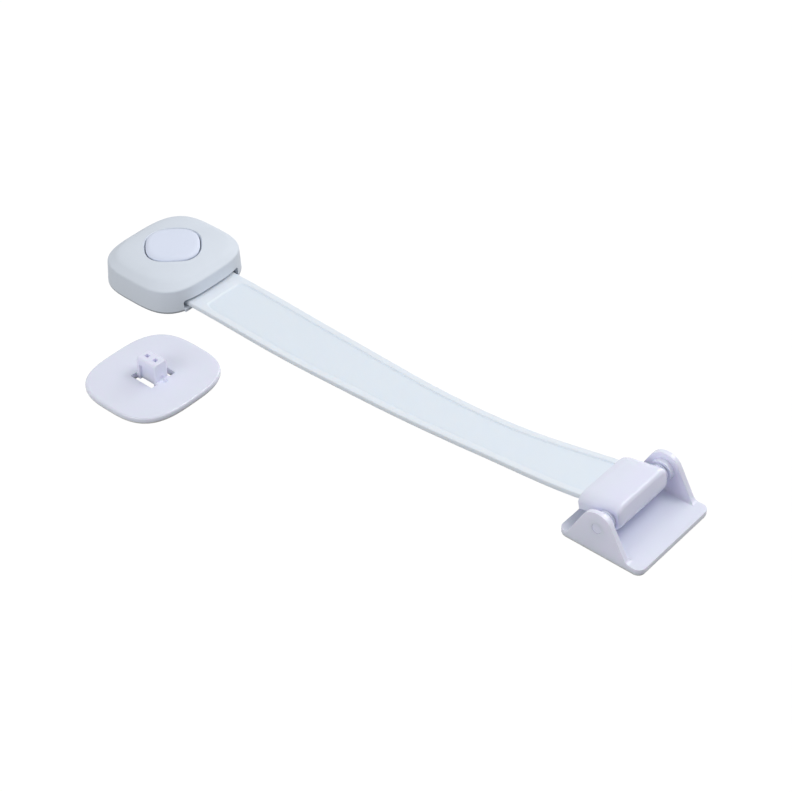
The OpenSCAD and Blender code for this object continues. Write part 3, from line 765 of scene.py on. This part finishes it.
def squircle_share(x, y, half_x, half_y, square):
    """How far out a point lies in a rounded square, 1 on its outline."""
    return (abs(x / half_x) ** square + abs(y / half_y) ** square) ** (1 / square)


# Rings of the head's flat top before they are drawn in, as shares of its outline
CROWN_RINGS = [1 - 0.05 * i for i in range(9)]
# Share of the crown at which it starts to sag towards its crease
SAG_START = 0.8
# How far a point may lie from an outline and still be on it, as a share
OUTLINE_NEAR = 0.002


class LIDLOCK_OT_head(bpy.types.Operator):
    """Models the lock head's casing, from its rim over the shoulder to the button's hole"""
    bl_idname = "lidlock.head"
    bl_label = "Head casing"

    def execute(self, context):
        head, button = context.scene.lid_lock.head, context.scene.lid_lock.button
        half_x, half_y = head.length / 2, head.width / 2
        crown_z = head.side + head.run * math.tan(head.slope)
        crown_in = head.draft + head.run
        hole = button.width / 2 + button.gap
        top_x, top_y = half_x - crown_in, half_y - crown_in
        rim = hole + button.bezel
        rim_across = rim * math.sqrt(2)

        def crown(co):
            """Draws a ring of the top in, from the shoulder's outline to the hole's, and lifts it."""
            if co.z < crown_z - NEAR:
                return co
            outer = squircle_share(co.x, co.y, top_x, top_y, head.square)
            inner = squircle_share(co.x + co.y, co.y - co.x, rim_across, rim_across, button.square)
            part = (1 - outer) / (1 - CROWN_RINGS[-1])
            scale = (1 - part) / outer + part / inner
            share = min(outer * scale, 1)
            sag = head.sag * (max(0.0, share - SAG_START) / (1 - SAG_START)) ** 2
            rise = head.crown * (1 - share ** 2) - sag
            return Vector((co.x * scale, co.y * scale, crown_z + rise))

        piece = start_rounded_square("head_casing", half_x, half_y, head.square, 0)
        grow([(0, 0), (head.draft, head.side), (crown_in, crown_z)], half_x, half_y)
        for last, share in zip(CROWN_RINGS, CROWN_RINGS[1:]):
            extrude(ORIGIN)
            resize((share / last, share / last, 1), (0, 0, crown_z))
        bpy.ops.mesh.delete(type="ONLY_FACE")

        # The cavity is pushed up from the rim
        cavity = head.side - head.wall / 2
        pick("FACE", lambda face: level(face, 0))
        bpy.ops.mesh.inset(thickness=head.wall)
        grow([(0, 0), (head.draft, cavity), (crown_in, crown_z - head.wall)], half_x, half_y)
        bpy.ops.mesh.delete(type="ONLY_FACE")
        shape(crown)

        # The hole's sloping rim and its wall, which is undercut between two lips
        rim_share = squircle_share(rim, 0, top_x, top_y, head.square)
        bezel_z = crown_z + head.crown * (1 - rim_share ** 2) - button.bezel_deep
        under = hole + button.under
        last = rim
        pick("EDGE", lambda edge: open_edge(edge, crown_z))
        for radius, z in ((hole, bezel_z),
                          (hole, bezel_z - button.lip),
                          (under, bezel_z - button.under),
                          (under, button.collar + button.under),
                          (hole, button.collar + button.lip),
                          (hole, button.collar)):
            extrude(ORIGIN)
            resize((radius / last, radius / last, 0), (0, 0, z))
            last = radius
        pick("EDGE", open_edge)
        bpy.ops.mesh.bridge_edge_loops(number_cuts=0)

        # Rounded rim, edge and crease
        def ring(z, inset):
            """A test for the edges of the ring at a height and an inset."""
            def on_ring(edge):
                shares = [squircle_share(v.co.x, v.co.y, half_x - inset, half_y - inset, head.square)
                          for v in edge.verts]
                return level(edge, z) and all(abs(share - 1) < OUTLINE_NEAR for share in shares)
            return on_ring

        pick("EDGE", ring(0, 0))
        bevel(head.rim, 3)
        pick("EDGE", ring(head.side, head.draft))
        bevel(head.edge * math.tan((math.pi / 2 - head.slope) / 2), 5)
        pick("EDGE", ring(crown_z - head.sag, crown_in))
        bevel(head.crease, 5)
        leave()

        slot = start_box("slot", (half_x - head.slot_deep, -head.slot_width / 2, -head.slot_top),
                         (half_x + head.wall, head.slot_width / 2, head.slot_top))
        pick("EDGE", lambda edge: level(edge, head.slot_top)
             and abs(edge.verts[0].co.y - edge.verts[1].co.y) < NEAR)
        bevel(head.slot_round, 5)
        leave()
        cut(piece, slot)
        put(piece, HEAD_PLACE)
        dress(piece, finish_named("head_moulding"), "head_grey", "head_shell")
        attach(piece, "lock_head")
        return {"FINISHED"}


# Rings of the button's crowned top, as shares of its half width inside the rounded edge
BUTTON_RINGS = (0.75, 0.5, 0.25, 0.1)


class LIDLOCK_OT_button(bpy.types.Operator):
    """Models the push button with its skirt, flange and wedge legs"""
    bl_idname = "lidlock.button"
    bl_label = "Push button"

    def execute(self, context):
        button = context.scene.lid_lock.button
        half = button.width / 2
        flange_top = button.collar - button.flange_gap
        flange_low = flange_top - button.flange_thick
        edge_top = BUTTON_TOP - button.crown
        edge_low = edge_top - button.edge_h
        edge = [(button.edge_w * (1 - math.cos(t)), edge_top - button.edge_h * (1 - math.sin(t)))
                for t in sweep(90, 6)]
        crown = [(button.edge_w + (half - button.edge_w) * (1 - share),
                  BUTTON_TOP - button.crown * share ** 2) for share in BUTTON_RINGS]
        flange = [(-button.flange, flange_low), (-button.flange, flange_top)]
        side = [(button.under, flange_top), (button.under, edge_low - button.under),
                (0, edge_low - button.lip)]
        piece = start_rounded_square("button_cap", half + button.flange, half + button.flange,
                                     button.square, flange_low, math.pi / 4)
        grow([*flange, *side, *edge, *crown], half, half)
        roof = BUTTON_TOP - button.roof
        pick("FACE", lambda face: level(face, flange_low))
        bpy.ops.mesh.inset(thickness=button.flange + button.wall)
        extrude((0, 0, roof - flange_low))
        leave()

        # Wedge legs below the roof
        tip_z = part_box("push_button")[0].z
        leg_end = button.leg_length / 2
        for leg_x in (-button.leg_place, button.leg_place):
            leg = start_box("leg", (leg_x - leg_end, -button.leg_half, button.leg_shoulder),
                            (leg_x + leg_end, button.leg_half, roof + button.leg_root))
            pick("FACE", lambda face: level(face, button.leg_shoulder))
            extrude((0, 0, tip_z - button.leg_shoulder))
            resize((1, button.leg_tip / button.leg_half, 1), (leg_x, 0, tip_z))
            leave()
            join(piece, leg)
        put(piece, HEAD_PLACE)
        dress(piece, finish_named("button_moulding"), "button_white", "push_button")
        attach(piece, "button")
        return {"FINISHED"}


# Strap


def ease(share):
    """A smooth step from 0 to 1."""
    return (1 - math.cos(math.pi * max(0.0, min(1.0, share)))) / 2


# Stations in the head, where the panel starts, and along the rest of the strap
TAB_STATIONS = 10
END_STATIONS = 28
RUN_STATIONS = 150
# Rows across the strap: angles of its rounded edge, one on the border, then steps to the panel's middle
EDGE_ANGLES = (0, 25, 45, 65, 90)
BORDER_ROW = 0.6
STEP_ROWS = 4
CORNER_ROWS = 6
PANEL_ROWS = 5


def between(low, high, steps):
    """Even steps from one number towards another, without the last."""
    return [low + (high - low) * i / steps for i in range(steps)]


class LIDLOCK_OT_strap(bpy.types.Operator):
    """Models the strap as one band with a raised border, laid from the head up to the hinge"""
    bl_idname = "lidlock.strap"
    bl_label = "Strap"

    def execute(self, context):
        lock = context.scene.lid_lock
        strap, block, head = lock.strap, lock.block, lock.head
        slope = strap.slope
        start_x = HEAD_PLACE.x + strap.tab_in
        level_x = HEAD_PLACE.x + head.length / 2 + strap.tab_out
        settle_x = level_x + strap.settle
        taper_x = level_x + strap.taper
        climb = PIN_PLACE.z + block.seat / math.cos(slope) - strap.lift
        bend_x = PIN_PLACE.x - climb / math.tan(slope) - strap.bend * math.tan(slope / 2)
        bend_end = bend_x + strap.bend * math.sin(slope)
        grip = block.reach - block.grip
        end_x = PIN_PLACE.x - grip * math.cos(slope) - block.seat * math.sin(slope)
        clamp_x = PIN_PLACE.x - block.reach
        panel_x = level_x + strap.border

        def run(x):
            """Height and slope of the underside at x."""
            if x < settle_x:
                return strap.tab_z + (strap.lift - strap.tab_z) * ease((x - level_x) / strap.settle), 0.0
            turn = math.asin(max(0.0, min(math.sin(slope), (x - bend_x) / strap.bend)))
            rise = strap.bend * (1 - math.cos(turn)) + max(0.0, x - bend_end) * math.tan(slope)
            return strap.lift + rise, turn

        def half_width(x):
            """Half the strap's width at x, which is least at the waist."""
            if x < -strap.waist_x:
                share = ease((x - taper_x) / (-strap.waist_x - taper_x))
                return (strap.head_w + (strap.waist_w - strap.head_w) * share) / 2
            share = ease((x + strap.waist_x) / (strap.waist_x + clamp_x))
            return (strap.waist_w + (strap.hinge_w - strap.waist_w) * share) / 2

        # Stations along the strap, close together where the panel starts
        stretch = strap.end_step / strap.step
        corner_x = panel_x + stretch * (strap.corner + strap.step)
        stations = [*between(start_x, panel_x, TAB_STATIONS), *between(panel_x, corner_x, END_STATIONS),
                    *between(corner_x, end_x, RUN_STATIONS), end_x]
        # Rows across it, as distances from the long edge, and as shares of the panel
        inner = strap.border + strap.step
        deepest = inner + strap.corner
        margins = [*(strap.edge * (1 - math.cos(math.radians(t))) for t in EDGE_ANGLES),
                   strap.border * BORDER_ROW, *between(strap.border, inner, STEP_ROWS),
                   *between(inner, deepest, CORNER_ROWS), deepest]
        shares = [i / PANEL_ROWS for i in range(1, PANEL_ROWS)]
        columns = len(stations)
        rows = len(margins) * 2 + len(shares)

        def across(row, half):
            """Distance of a row from the strap's middle, and from its nearest long edge."""
            if row < len(margins):
                return -half + margins[row], margins[row]
            if row >= rows - len(margins):
                return half - margins[rows - 1 - row], margins[rows - 1 - row]
            flat = half - margins[-1]
            y = flat * (2 * shares[row - len(margins)] - 1)
            return y, half - abs(y)

        def inside_panel(x, edge):
            """1 in the sunk panel, 0 on the border."""
            r = strap.corner
            deep_x, deep_y = (x - panel_x) / stretch, edge - strap.border
            deep = r - math.hypot(max(r - deep_x, 0), max(r - deep_y, 0))
            return ease(min(deep, deep_x, deep_y) / strap.step)

        def laid(co):
            """The x and y at which a vertex of the grid lies, and its distance from the long edge."""
            x = stations[round((co.x + 1) / 2 * (columns - 1))]
            return x, *across(round((co.y + 1) / 2 * (rows - 1)), half_width(x))

        def lay(co):
            """Lays a vertex of the grid or of its copy below on the strap's upper or lower side."""
            x, y, edge = laid(co)
            height, turn = run(x)
            corner = strap.edge - math.sqrt(max(0.0, strap.edge ** 2 - max(0.0, strap.edge - edge) ** 2))
            above = corner
            if co.z > -0.5:
                above = strap.thick - corner - strap.recess * inside_panel(x, edge)
            return Vector((x - above * math.sin(turn), y, height + above * math.cos(turn)))

        piece = start("strap_band", bpy.ops.mesh.primitive_grid_add, x_subdivisions=columns - 1,
                      y_subdivisions=rows - 1, size=2)
        extrude((0, 0, -1))
        mesh = bmesh.from_edit_mesh(piece.data)
        layer = mesh.verts.layers.float.new(PANEL_LAYER)
        for vert in mesh.verts:
            x, _, edge = laid(vert.co)
            vert[layer] = inside_panel(x, edge)
        shape(lay)
        leave()
        dress(piece, finish_named("strap_plastic"), "strap_clear", "strap")
        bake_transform(piece)
        return {"FINISHED"}


# Hinge


# Rings where the block's ends are rounded, and where its top falls away before them
END_RINGS = 6
SIDE_RINGS = 5


class LIDLOCK_OT_block(bpy.types.Operator):
    """Models the hinge block with its barrel, ramp and strap pocket"""
    bl_idname = "lidlock.block"
    bl_label = "Hinge block"

    def execute(self, context):
        lock = context.scene.lid_lock
        block, strap, bracket = lock.block, lock.strap, lock.bracket
        top = block.seat + strap.thick + block.roof
        bottom = block.seat - block.floor
        front, reach = block.barrel_r - block.front_r, block.reach
        ridge, soft = block.ramp - reach, block.ridge
        outline = (arc(front, top - block.front_r, block.front_r, 0, 90, 8)
                   + [(ridge + 3 * soft, top), (ridge + soft, top),
                      (ridge - soft, top - block.drop * soft / block.ramp),
                      (ridge - 3 * soft, top - block.drop * 3 * soft / block.ramp),
                      (-reach, top - block.drop), (-reach, bottom)]
                   + arc(0, 0, block.barrel_r, 180 - math.degrees(bottom / block.barrel_r), 360))
        side = block.width / 2
        steps = [side - block.end_run * (1 - math.cos(t)) for t in sweep(90, END_RINGS)]
        steps += between(side - block.side_run, steps[-1], SIDE_RINGS)[::-1]

        def rounding(y, run):
            """0 along the block, and up to 1 at its ends, as a quarter of an ellipse."""
            share = max(0.0, abs(y) - side + run) / run
            return 1 - math.sqrt(max(0.0, 1 - share ** 2))

        def pillow(co):
            """Lets the top fall and the front draw back towards both sides."""
            fall = block.side_fall * rounding(co.y, block.side_run) * ease(co.z / top)
            back = block.end_back * rounding(co.y, block.end_run) * max(0.0, co.x) / block.barrel_r
            lift = block.end_back * rounding(co.y, block.end_run) * max(0.0, -co.z) / block.barrel_r
            return Vector((co.x - back, co.y, co.z - fall + lift))

        piece = start_outline("hinge_knuckle", outline, [-y for y in steps] + steps[::-1])
        shape(pillow)
        pick("EDGE", sharp)
        bevel(block.edge, 3)
        leave()
        half = strap.hinge_w / 2
        seat_half = half + block.clamp_side
        depth = block.grip + block.gap
        cut(piece,
            bar_tool(bracket.bore_r, -block.width, block.width),
            box_tool((-2 * reach, -half - block.gap, block.seat - block.gap),
                     (depth - reach, half + block.gap, block.seat + strap.thick + block.gap)),
            box_tool((-2 * reach, -seat_half, bottom - reach), (depth - reach, seat_half, block.seat)))
        put(piece, PIN_PLACE, -strap.slope)
        dress(piece, finish_named("white_moulding"), "bracket_white", "hinge_block")
        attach(piece, "strap_arm")
        return {"FINISHED"}


# Rings of a collar, as shares of its length and radii in millimetres
COLLAR_RINGS = ((0, 3.3), (0.1, 3.7), (0.4, 3.7), (0.5, 3.3),
                (0.6, 3.3), (0.7, 3.7), (0.92, 3.7), (1, 3.5))


class LIDLOCK_OT_collars(bpy.types.Operator):
    """Models the ringed collars between the barrel and the ears"""
    bl_idname = "lidlock.collars"
    bl_label = "Hinge collars"

    def execute(self, context):
        bore = context.scene.lid_lock.bracket.bore_r
        for node, name, side in (("hinge_bush_near", "collar_near", -1),
                                 ("hinge_bush_far", "collar_far", 1)):
            low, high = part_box(node)
            inner = min(abs(low.y), abs(high.y))
            rings = [(side * (inner + share * (high.y - low.y)), r * MM) for share, r in COLLAR_RINGS]
            piece = start(name, bpy.ops.mesh.primitive_circle_add, vertices=4 * ARC_STEPS,
                          radius=rings[0][1], fill_type="NGON")
            rotate(math.pi / 2, "X")
            shift((0, rings[0][0], 0))
            bpy.ops.mesh.select_mode(type="FACE")
            for (last_y, last_r), (y, r) in zip(rings, rings[1:]):
                extrude((0, y - last_y, 0))
                resize((r / last_r, 1, r / last_r))
            leave()
            past = 2 * abs(rings[-1][0])
            cut(piece, bar_tool(bore, -past, past))
            put(piece, PIN_PLACE)
            dress(piece, finish_named("white_moulding"), "bracket_white", node)
            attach(piece, "bracket")
        return {"FINISHED"}


def tangent_angle(x, z, radius, side):
    """Angle, in degrees, at which a line from x, z touches a circle round the origin."""
    return math.degrees(math.atan2(z, x) + side * math.acos(radius / math.hypot(x, z)))


# Faces that meet at less than this angle are one flat face
FLAT_ANGLE = math.radians(0.5)
# How far from the pin, in radii of the boss, the edges that are rounded start
BOSS_CLEAR = 1.1


class LIDLOCK_OT_bracket(bpy.types.Operator):
    """Models the bracket: a base plate with two ears, filleted at their feet"""
    bl_idname = "lidlock.bracket"
    bl_label = "Hinge bracket"

    def execute(self, context):
        bracket = context.scene.lid_lock.bracket
        top = BASE_FOOT + bracket.thick
        half_x, half_y = bracket.length / 2, bracket.width / 2
        inside = bracket.ear_inside / 2

        # One half is drawn out from its outer side: the plate with an ear, then the plate alone
        foot = top - PIN_PLACE.z
        right = tangent_angle(bracket.foot_front, foot, bracket.ear_r, 1)
        left = tangent_angle(-bracket.foot_back, foot, bracket.ear_r, -1)
        ear = [(bracket.foot_front, foot),
               *arc(0, 0, bracket.ear_r, right, left + 360 if left < right else left, 2 * ARC_STEPS),
               (-bracket.foot_back, foot)]
        outline = ([(-half_x, top), (-half_x, BASE_FOOT), (half_x, BASE_FOOT), (half_x, top)]
                   + [(x + PIN_PLACE.x, z + PIN_PLACE.z) for x, z in ear])
        piece = start_outline("bracket_base", outline, (-half_y, -inside))
        pick("VERT", lambda v: abs(v.co.y + inside) < NEAR and abs(v.co.z - top) < NEAR
             and abs(v.co.x) < half_x - NEAR)
        bpy.ops.mesh.vert_connect_path()
        pick("FACE", lambda face: all(abs(v.co.y + inside) < NEAR and v.co.z < top + NEAR
                                      for v in face.verts))
        extrude((0, inside, 0))
        bpy.ops.mesh.delete(type="FACE")
        leave()
        finish_with(piece, "MIRROR", use_axis=(False, True, False))

        # Corners and fillets, then the bosses and the pin's holes, then the edges
        reopen(piece)
        bpy.ops.mesh.dissolve_limited(angle_limit=FLAT_ANGLE)
        pick("EDGE", lambda edge: abs(edge.verts[0].co.z - edge.verts[1].co.z) > NEAR
             and all(abs(v.co.x) > half_x - NEAR for v in edge.verts))
        bevel(bracket.corner, 8)
        pick("EDGE", lambda edge: level(edge, top) and edge.calc_face_angle_signed() < -SMOOTH_ANGLE
             and any(v.co.x > 0 for v in edge.verts))
        bevel(bracket.fillet, 6)
        leave()
        for ends in ((inside - bracket.boss_thick, (inside + half_y) / 2),
                     (-(inside + half_y) / 2, bracket.boss_thick - inside)):
            join(piece, bar_tool(bracket.boss_r, *ends, PIN_PLACE.x, PIN_PLACE.z))
        cut(piece, bar_tool(bracket.bore_r, -bracket.width, bracket.width, PIN_PLACE.x, PIN_PLACE.z))

        def on_side(edge, y, low):
            """Whether a ridge lies in one of the two planes at a distance from the middle."""
            clear = BOSS_CLEAR * bracket.boss_r
            return sharp(edge) and all(abs(abs(v.co.y) - y) < NEAR and v.co.z > low - NEAR
                                       and (v.co - PIN_PLACE).xz.length > clear for v in edge.verts)

        reopen(piece)
        pick("EDGE", lambda edge: on_side(edge, half_y, top) or sharp(edge) and level(edge, top))
        bevel(bracket.edge, 4)
        pick("EDGE", lambda edge: on_side(edge, inside, top + bracket.fillet))
        bevel(bracket.edge, 4)
        leave()
        dress(piece, finish_named("white_moulding"), "bracket_white", "base_bracket")
        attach(piece, "bracket")
        return {"FINISHED"}


# Catch plate


# Rings of the plate's crowned top, as shares of its half width inside the rounded edge
PLATE_RINGS = (0.9, 0.75, 0.6, 0.45)
# How far from the post's end the middle of the gate's recess lies, in radii of the recess
GATE_PLACE = 0.8


class LIDLOCK_OT_catch(bpy.types.Operator):
    """Models the catch plate with its undercut post, windows and pits"""
    bl_idname = "lidlock.catch"
    bl_label = "Catch plate"

    def execute(self, context):
        plate = context.scene.lid_lock.catch
        half_x, half_y = plate.length / 2, plate.width / 2
        top = PLATE_FOOT + plate.thick
        rim = top - plate.fall
        edge = [(plate.edge * (1 - math.cos(t)), rim - plate.edge * (1 - math.sin(t)))
                for t in sweep(90, 5)]
        crown = [(plate.edge + (half_x - plate.edge) * (1 - share), top - plate.fall * share ** 2)
                 for share in PLATE_RINGS]
        piece = start_rounded_square("catch_base", half_x, half_y, plate.square, PLATE_FOOT)
        grow([(0, PLATE_FOOT), *edge, *crown], half_x, half_y)
        leave()

        post_x, post_y = plate.post_len / 2, plate.post_wid / 2
        post_top = top + plate.post_high
        post = start_box("post", (-post_x, -post_y, PLATE_FOOT + plate.thick / 2),
                         (post_x, post_y, post_top))
        pick("EDGE", lambda e: level(e, post_top) and abs(e.verts[0].co.y - e.verts[1].co.y) < NEAR)
        bevel(plate.lip_round, 4)
        pick("EDGE", lambda e: sharp(e) and any(v.co.z > top for v in e.verts))
        bevel(plate.post_edge, 3)
        leave()
        join(piece, post)

        # Undercut, window and pit on each side, then the gate's recess
        under = post_top - plate.lip_high
        wall = post_x - plate.end_wall
        window_x = post_x + plate.window_over
        inner, outer = post_y - plate.lip_deep, post_y + plate.window
        pit = plate.pit / 2
        tools = []
        for side in (-1, 1):
            under_y = sorted((side * inner, side * outer))
            window_y = sorted((side * post_y, side * outer))
            pit_x = side * plate.pit_pitch / 2
            tools += [box_tool((-wall, under_y[0], -top), (wall, under_y[1], under)),
                      box_tool((-window_x, window_y[0], -top), (window_x, window_y[1], 2 * top)),
                      box_tool((pit_x - pit, -pit, post_top - plate.pit_deep),
                               (pit_x + pit, pit, post_top + top))]
        cut(piece, *tools, self.dimple(plate, post_x, top))
        put(piece, CATCH_PLACE)
        dress(piece, finish_named("white_moulding"), "catch_white", "catch_plate")
        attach(piece, "catch")
        return {"FINISHED"}

    def dimple(self, plate, x, z):
        """The round recess that the mould's gate left beside the post."""
        half = plate.gate / 2
        radius = (half ** 2 + plate.gate_deep ** 2) / (2 * plate.gate_deep)
        tool = start("dimple", bpy.ops.mesh.primitive_uv_sphere_add, segments=48, ring_count=24,
                     radius=radius)
        shift((x + half * GATE_PLACE, 0, z + radius - plate.gate_deep))
        leave()
        return tool


class LIDLOCK_OT_pads(bpy.types.Operator):
    """Models the two foam pads, with edges that swell a little"""
    bl_idname = "lidlock.pads"
    bl_label = "Foam pads"

    def execute(self, context):
        lock = context.scene.lid_lock
        pad, bracket, plate = lock.pad, lock.bracket, lock.catch
        swell = [(pad.bulge * (1 - math.sin(t)), pad.thick * (1 - math.cos(t)) / 2)
                 for t in sweep(180, 8)]

        half_x, half_y = bracket.length / 2 - pad.inset, bracket.width / 2 - pad.inset
        base = start_box("bracket_foam", (-half_x, -half_y, 0), (half_x, half_y, pad.thick))
        pick("FACE", lambda face: not level(face, 0))
        bpy.ops.mesh.delete(type="FACE")
        pick("VERT", lambda vert: True)
        bpy.ops.mesh.bevel(offset=bracket.corner - pad.inset / 2, segments=8, profile=0.5,
                           affect="VERTICES")
        bpy.ops.mesh.select_mode(type="FACE")
        bpy.ops.mesh.select_all(action="SELECT")
        resize(((half_x - pad.bulge) / half_x, (half_y - pad.bulge) / half_y, 1))
        grow(swell, half_x, half_y)
        leave()

        half_x, half_y = plate.length / 2 - pad.inset, plate.width / 2 - pad.inset
        catch = start_rounded_square("catch_foam", half_x - pad.bulge, half_y - pad.bulge,
                                     plate.square, 0)
        grow(swell, half_x, half_y)
        leave()
        hole_x = plate.post_len / 2 + plate.window_over + pad.inset
        hole_y = plate.post_wid / 2 + plate.window + pad.inset
        cut(catch, box_tool((-hole_x, -hole_y, -pad.thick), (hole_x, hole_y, 2 * pad.thick)))
        put(catch, CATCH_PLACE)

        for piece, body, node in ((base, "bracket", "bracket_pad"), (catch, "catch", "catch_pad")):
            dress(piece, finish_named("pad_tape"), "pad_foam", node)
            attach(piece, body)
        return {"FINISHED"}


# Springs

# Sides of the round wire and rings in a turn
WIRE_SIDES = 8
TURN_RINGS = 16
# Ways in which a spring can lie
ACROSS = Vector((0, 1, 0))
UP = Vector((0, 0, 1))


class LIDLOCK_OT_springs(bpy.types.Operator):
    """Winds the three springs, each between the head and the piece that it pushes"""
    bl_idname = "lidlock.springs"
    bl_label = "Springs"

    def execute(self, context):
        spring = context.scene.lid_lock.spring
        self.coil("button_spring", "button", UP, ACROSS, 1, spring.button_wire, spring.button_turns)
        self.coil("jaw_spring_near", "jaw_near", ACROSS, UP, 1, spring.jaw_wire, spring.jaw_turns)
        self.coil("jaw_spring_far", "jaw_far", ACROSS, UP, -1, spring.jaw_wire, spring.jaw_turns)
        return {"FINISHED"}

    def coil(self, node, body, along, across, way, wire, turns):
        """One spring in its CAD node's box; way, which is not used, is 1 where it pushes at its far end
        along its axis.
        """
        low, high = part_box(node)
        centre = (low + high) / 2
        half = along * (high - low).dot(along) / 2
        radius = (high.x - low.x - wire) / 2
        rings = round(turns * TURN_RINGS)
        piece = start(node.replace("spring", "coil"), bpy.ops.mesh.primitive_circle_add,
                      vertices=WIRE_SIDES, radius=1, fill_type="NGON")
        for _ in range(rings):
            extrude((0, 0, 1))

        def wind(co):
            """Winds a vertex of the straight wire, whose rings are 1 apart, round the spring's axis."""
            share = co.z / rings
            turn = math.tau * turns * share
            out = radius + wire / 2 * co.x
            lift = (half.length - wire / 2) * (2 * share - 1) + wire / 2 * co.y
            ring = Vector((out * math.cos(turn), 0, 0)) + across * out * math.sin(turn)
            return centre + ring + along * lift

        shape(wind)
        leave()
        dress(piece, finish_named("plain_steel"), "steel", node)
        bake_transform(piece)


# Pieces that keep their solids


KEPT_FINISHES = {
    "solid_white": ("hinge_pin", "strap_clamp", "latch_jaw_near", "latch_jaw_far"),
    "cover_moulding": ("head_cover",),
    "plain_steel": ("clamp_screws", "head_screws"),
}


class LIDLOCK_OT_kept(bpy.types.Operator):
    """Gives the pieces that keep their solids their finishes"""
    bl_idname = "lidlock.kept"
    bl_label = "Inner pieces"

    def execute(self, context):
        for name, nodes in KEPT_FINISHES.items():
            for node in nodes:
                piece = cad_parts[node]
                piece.data.materials.clear()
                piece.data.materials.append(finish_named(name))
        return {"FINISHED"}


# Stage


# Width of the camera's sensor, in millimetres
SENSOR_WIDTH = 36
WHITE = (1, 1, 1, 1)


class LIDLOCK_OT_stage(bpy.types.Operator):
    """Sets up the white floor, the soft lamps and the camera"""
    bl_idname = "lidlock.stage"
    bl_label = "Stage"

    def execute(self, context):
        stage = context.scene.lid_lock.stage
        floor = start("floor", bpy.ops.mesh.primitive_plane_add, size=stage.floor_size)
        shift((stage.aim[0], stage.aim[1], CAD_BOX[0].z - stage.floor_gap))
        bpy.ops.object.mode_set(mode="OBJECT")
        floor.data.materials.append(self.floor_finish(stage))
        self.world(context.scene, stage.ambient)

        aim = Vector(stage.aim)
        for name in ("key", "fill", "rim"):
            lamp = bpy.data.lights.new(name, "AREA")
            lamp.energy = getattr(stage, name)
            lamp.size = stage.lamp_size
            self.point_at(lamp, aim + Vector(getattr(stage, name + "_from")), aim)
        camera = bpy.data.cameras.new("camera")
        camera.lens = stage.lens
        camera.sensor_width = SENSOR_WIDTH
        context.scene.camera = self.point_at(camera, Vector(stage.camera), aim)
        context.scene.view_settings.view_transform = "Standard"
        return {"FINISHED"}

    def point_at(self, data, place, aim):
        """Puts a lamp or the camera at a place, looking at a point."""
        item = bpy.data.objects.new(data.name, data)
        item.location = place
        item.rotation_euler = (aim - place).to_track_quat("-Z", "Y").to_euler()
        bpy.context.scene.collection.objects.link(item)
        return item

    def seen(self, finish):
        """1 for rays that the camera, a reflection or a clear piece sends."""
        rays = [finish.node("ShaderNodeLightPath", output=name)
                for name in ("Is Camera Ray", "Is Glossy Ray", "Is Transmission Ray")]
        return finish.node("ShaderNodeMath", {"operation": "ADD", "use_clamp": True},
                           {0: rays[0] + rays[1], 1: rays[2]})

    def floor_finish(self, stage):
        """A pale floor that looks white and still takes the object's shadow."""
        material = bpy.data.materials.new("floor")
        finish = Finish(material)
        pale = stage.floor_pale
        matt = finish.node("ShaderNodeBsdfDiffuse", None, {"Color": (pale, pale, pale, 1)})
        plain = finish.node("ShaderNodeEmission", None, {"Color": WHITE, "Strength": stage.floor_glow})
        share = self.seen(finish) * stage.floor_white
        mixed = finish.node("ShaderNodeMixShader", None, {0: share, 1: matt, 2: plain})
        finish.node("ShaderNodeOutputMaterial", None, {"Surface": mixed})
        return material

    def world(self, scene, ambient):
        """Soft light from all round, which looks white where it is seen."""
        scene.world = bpy.data.worlds.new("studio")
        finish = Finish(scene.world)
        strength = ambient + (1 - ambient) * self.seen(finish)
        glow = finish.node("ShaderNodeBackground", None, {"Color": WHITE, "Strength": strength})
        finish.node("ShaderNodeOutputWorld", None, {"Surface": glow})


class LIDLOCK_PT_panel(bpy.types.Panel):
    """Lists the pieces of the lid lock and their settings"""
    bl_idname = "LIDLOCK_PT_panel"
    bl_label = "Lid Lock"
    bl_space_type = "VIEW_3D"
    bl_region_type = "UI"
    bl_category = "Lid Lock"

    def draw(self, context):
        for maker in OPERATORS:
            self.layout.operator(maker.bl_idname)
        for group in LidLock.__annotations__:
            box = self.layout.box()
            box.label(text=group.capitalize())
            settings = getattr(context.scene.lid_lock, group)
            for name in settings.__annotations__:
                box.prop(settings, name)


GROUPS = (HeadSizes, ButtonSizes, StrapSizes, BracketSizes, BlockSizes, CatchSizes, PadSizes,
          SpringSizes, Finishes, StageSettings, LidLock)
OPERATORS = (LIDLOCK_OT_finishes, LIDLOCK_OT_head, LIDLOCK_OT_button, LIDLOCK_OT_strap,
             LIDLOCK_OT_block, LIDLOCK_OT_collars, LIDLOCK_OT_bracket, LIDLOCK_OT_catch,
             LIDLOCK_OT_pads, LIDLOCK_OT_springs, LIDLOCK_OT_kept, LIDLOCK_OT_stage)


def register():
    for item in (*GROUPS, *OPERATORS, LIDLOCK_PT_panel):
        bpy.utils.register_class(item)
    bpy.types.Scene.lid_lock = bpy.props.PointerProperty(type=LidLock)


def unregister():
    del bpy.types.Scene.lid_lock
    for item in reversed((*GROUPS, *OPERATORS, LIDLOCK_PT_panel)):
        bpy.utils.unregister_class(item)


def main():
    register()
    for maker in OPERATORS:
        group, name = maker.bl_idname.split(".")
        getattr(getattr(bpy.ops, group), name)()


if __name__ == "__main__":
    main()
